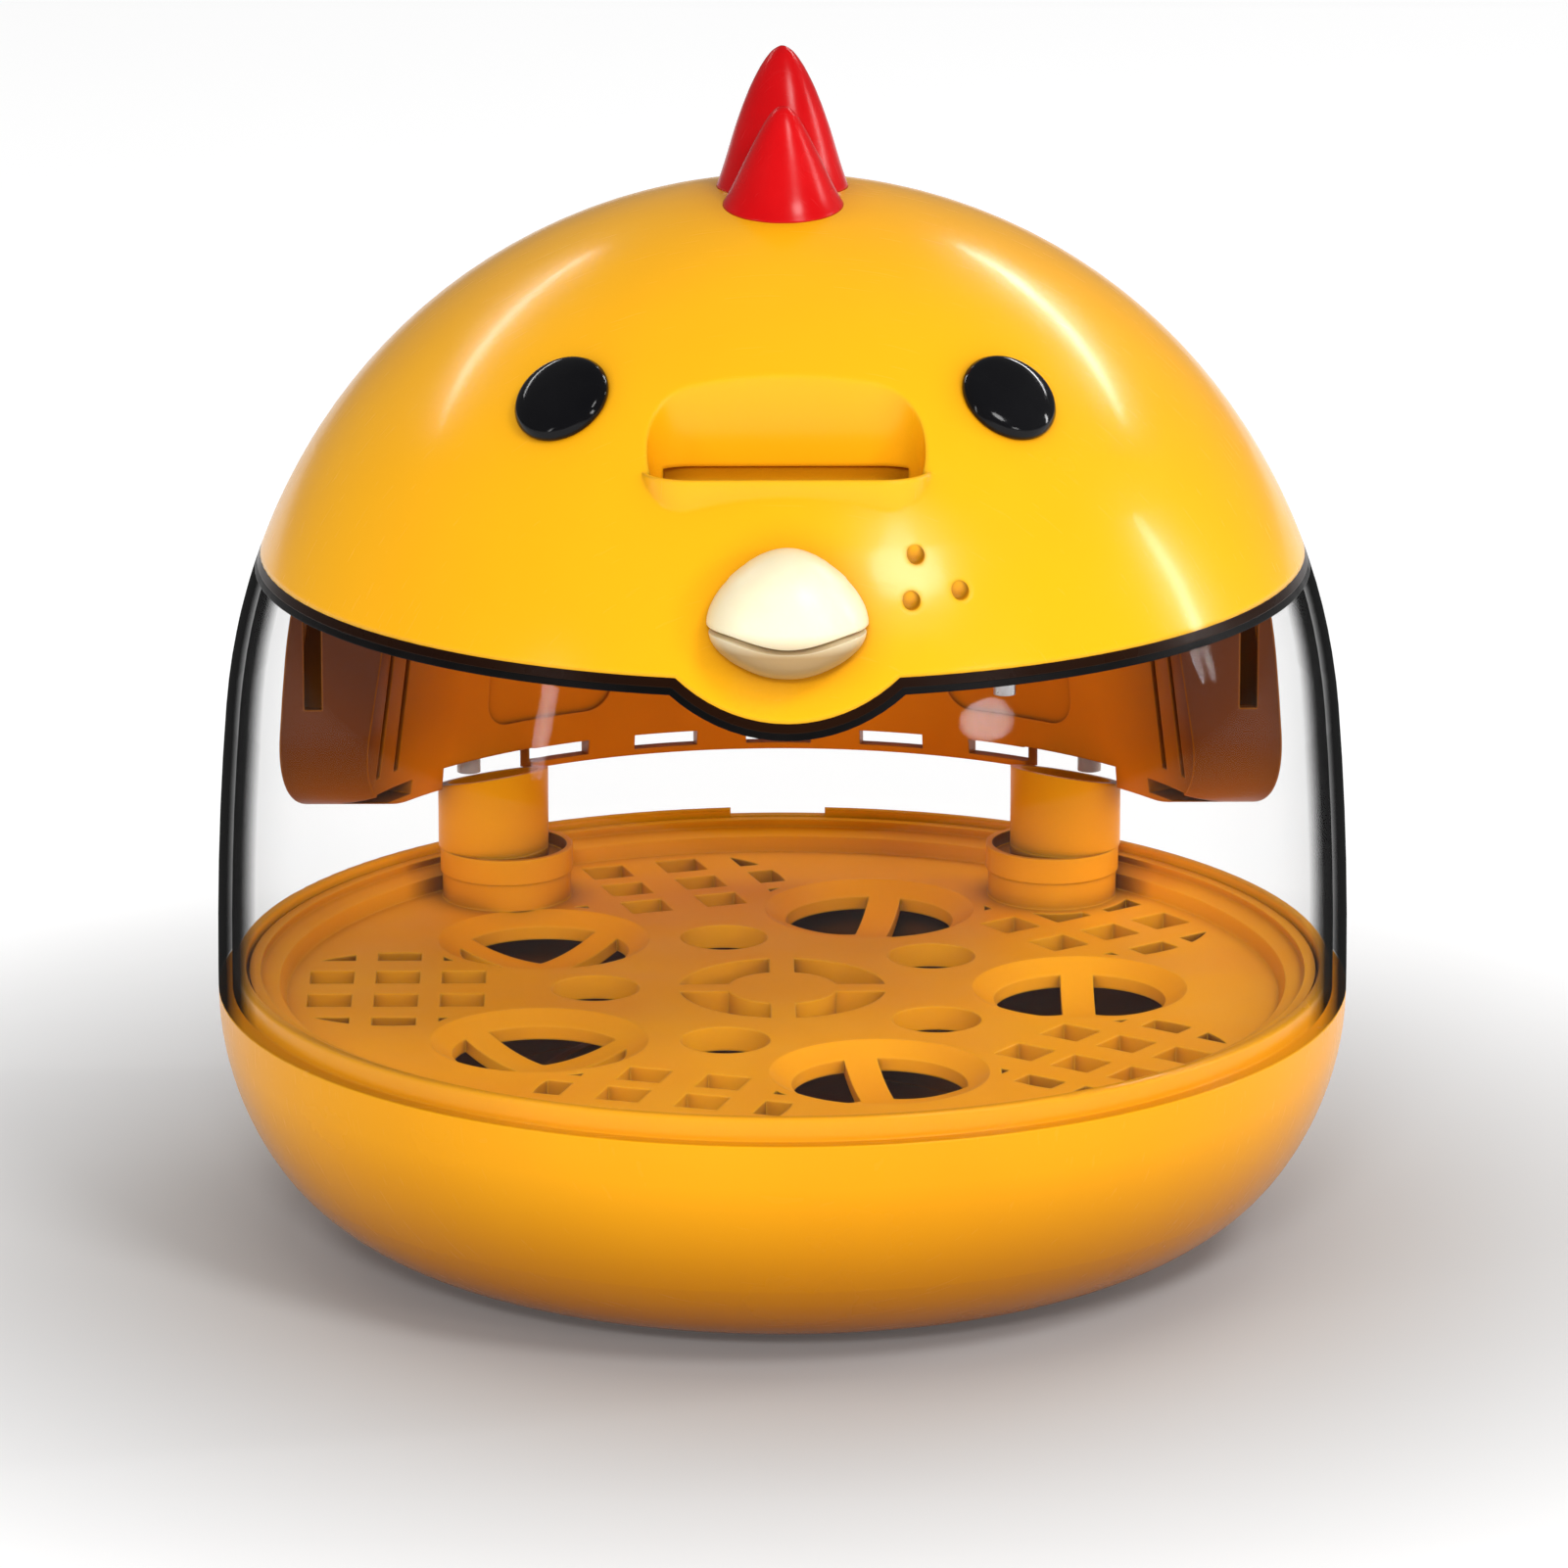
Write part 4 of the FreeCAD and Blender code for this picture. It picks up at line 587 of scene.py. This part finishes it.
def paleFloor(sheet):
    bpy.ops.object.select_all(action="DESELECT")
    bpy.ops.mesh.primitive_plane_add(size=sheet["size"], location=(0, 0, 0))
    floor = bpy.context.object
    floor.name = "studioFloor"
    material, tree, shader, place = startMaterial("floorSheet")
    shader.inputs["Base Color"].default_value = (*sheet["colour"], 1.0)
    shader.inputs["Specular IOR Level"].default_value = sheet["specular"]
    shader.inputs["Emission Color"].default_value = (1, 1, 1, 1)
    # painted shadow: the floor's own light is low close to the object and rises away from it
    away = addNode(tree, "ShaderNodeVectorMath", {"operation": "LENGTH"})
    join(tree, place.outputs["Object"], away.inputs[0])
    join(tree, spread(tree, away.outputs["Value"], *sheet["reach"], sheet["paintedShadowLift"], sheet["lift"]),
         shader.inputs["Emission Strength"])
    join(tree, spread(tree, noiseField(tree, place, 3.0), 0.3, 0.7, *sheet["gloss"]), shader.inputs["Roughness"])
    floor.data.materials.append(material)


paleFloor(floorSheet)
print("floor laid")


# Light: a pale room that is brightest behind, with soft boxes round the object

room = {"behind": 0.2, "front": 0.05, "turn": (-0.6, 0.8), "shown": 1.0, "soft": 0.42}
softBoxes = {
    "keyRight": {"at": (0.8, -1.2, 1.5), "size": (0.5, 0.5), "power": 13.0, "aim": (0.02, -0.03, 0.14)},
    "frontLow": {"at": (-0.1, -1.2, 0.62), "size": (0.3, 0.16), "power": 6.0, "aim": (0, 0, 0.05),
                 "soft": True},
    "cheekGlow": {"at": (1.05, -1.15, 0.5), "size": (0.3, 0.2), "power": 3.0, "aim": (0, 0, 0.14)},
    "lowLeft": {"at": (-1.1, -0.9, 0.42), "size": (0.06, 0.5), "power": 1.5, "aim": (0, 0, 0.1)},
    "lowRight": {"at": (1.3, 0.2, 0.5), "size": (0.08, 0.6), "power": 3.5, "aim": (0, 0, 0.1)},
    "rimLeft": {"at": (-0.75, 0.9, 0.9), "size": (0.9, 0.05), "power": 1.8, "aim": (0, 0, 0.16)},
    "rimRight": {"at": (0.75, 0.9, 0.9), "size": (0.9, 0.05), "power": 3.5, "aim": (0, 0, 0.16)},
    "trayGlow": {"at": (0, 0.01, 0.121), "size": (0.12, 0.12), "power": 0.012, "aim": (0, 0.01, 0),
                 "soft": True},
}


def paleRoom(levels):
    world = bpy.data.worlds.new("studioRoom")
    bpy.context.scene.world = world
    world.use_nodes = True
    tree = world.node_tree
    tree.nodes.clear()
    place = addNode(tree, "ShaderNodeTexCoord")
    split = addNode(tree, "ShaderNodeSeparateXYZ")
    join(tree, place.outputs["Generated"], split.inputs["Vector"])
    level = spread(tree, split.outputs["Y"], *levels["turn"], levels["front"], levels["behind"])
    light = addNode(tree, "ShaderNodeBackground")
    join(tree, level, light.inputs["Strength"])
    light.inputs["Color"].default_value = (1, 1, 1, 1)
    shown = addNode(tree, "ShaderNodeBackground", Strength=levels["shown"])
    shown.inputs["Color"].default_value = (1, 1, 1, 1)
    soft = addNode(tree, "ShaderNodeBackground", Strength=levels["soft"])
    soft.inputs["Color"].default_value = (1, 1, 1, 1)
    path = addNode(tree, "ShaderNodeLightPath")
    scattered = addNode(tree, "ShaderNodeMixShader")
    join(tree, path.outputs["Is Diffuse Ray"], scattered.inputs[0])
    join(tree, light.outputs[0], scattered.inputs[1])
    join(tree, soft.outputs[0], scattered.inputs[2])
    mix = addNode(tree, "ShaderNodeMixShader")
    join(tree, path.outputs["Is Camera Ray"], mix.inputs[0])
    join(tree, scattered.outputs[0], mix.inputs[1])
    join(tree, shown.outputs[0], mix.inputs[2])
    output = addNode(tree, "ShaderNodeOutputWorld")
    join(tree, mix.outputs[0], output.inputs["Surface"])


def hangSoftBox(name, box):
    lamp = bpy.data.lights.new(name, "AREA")
    lamp.shape = "ELLIPSE"
    lamp.size, lamp.size_y = box["size"]
    lamp.energy = box["power"]
    holder = bpy.data.objects.new(name, lamp)
    holder.location = box["at"]
    aim = Vector(box["aim"]) - Vector(box["at"])
    holder.rotation_euler = aim.to_track_quat("-Z", "Y").to_euler()
    holder.visible_camera = False
    holder.visible_glossy = not box.get("soft", False)      # a soft one lights without a reflection
    bpy.context.scene.collection.objects.link(holder)


paleRoom(room)
for boxName, box in softBoxes.items():
    hangSoftBox(boxName, box)
bpy.context.scene.view_settings.view_transform = "Standard"
print("lights hung:", len(softBoxes))


# Camera

viewpoint = {"at": (-0.016, -1.6999, 0.5562), "tilt": 74.42, "turn": -0.54, "lens": 224.41, "shift": 0.0009,
             "near": 0.05, "far": 20.0}

cameraData = bpy.data.cameras.new("viewpoint")
cameraData.lens = viewpoint["lens"]
cameraData.shift_x = viewpoint["shift"]
cameraData.clip_start, cameraData.clip_end = viewpoint["near"], viewpoint["far"]
camera = bpy.data.objects.new("viewpoint", cameraData)
camera.location = viewpoint["at"]
camera.rotation_euler = (math.radians(viewpoint["tilt"]), 0, math.radians(viewpoint["turn"]))
bpy.context.scene.collection.objects.link(camera)
bpy.context.scene.camera = camera
print("camera set")
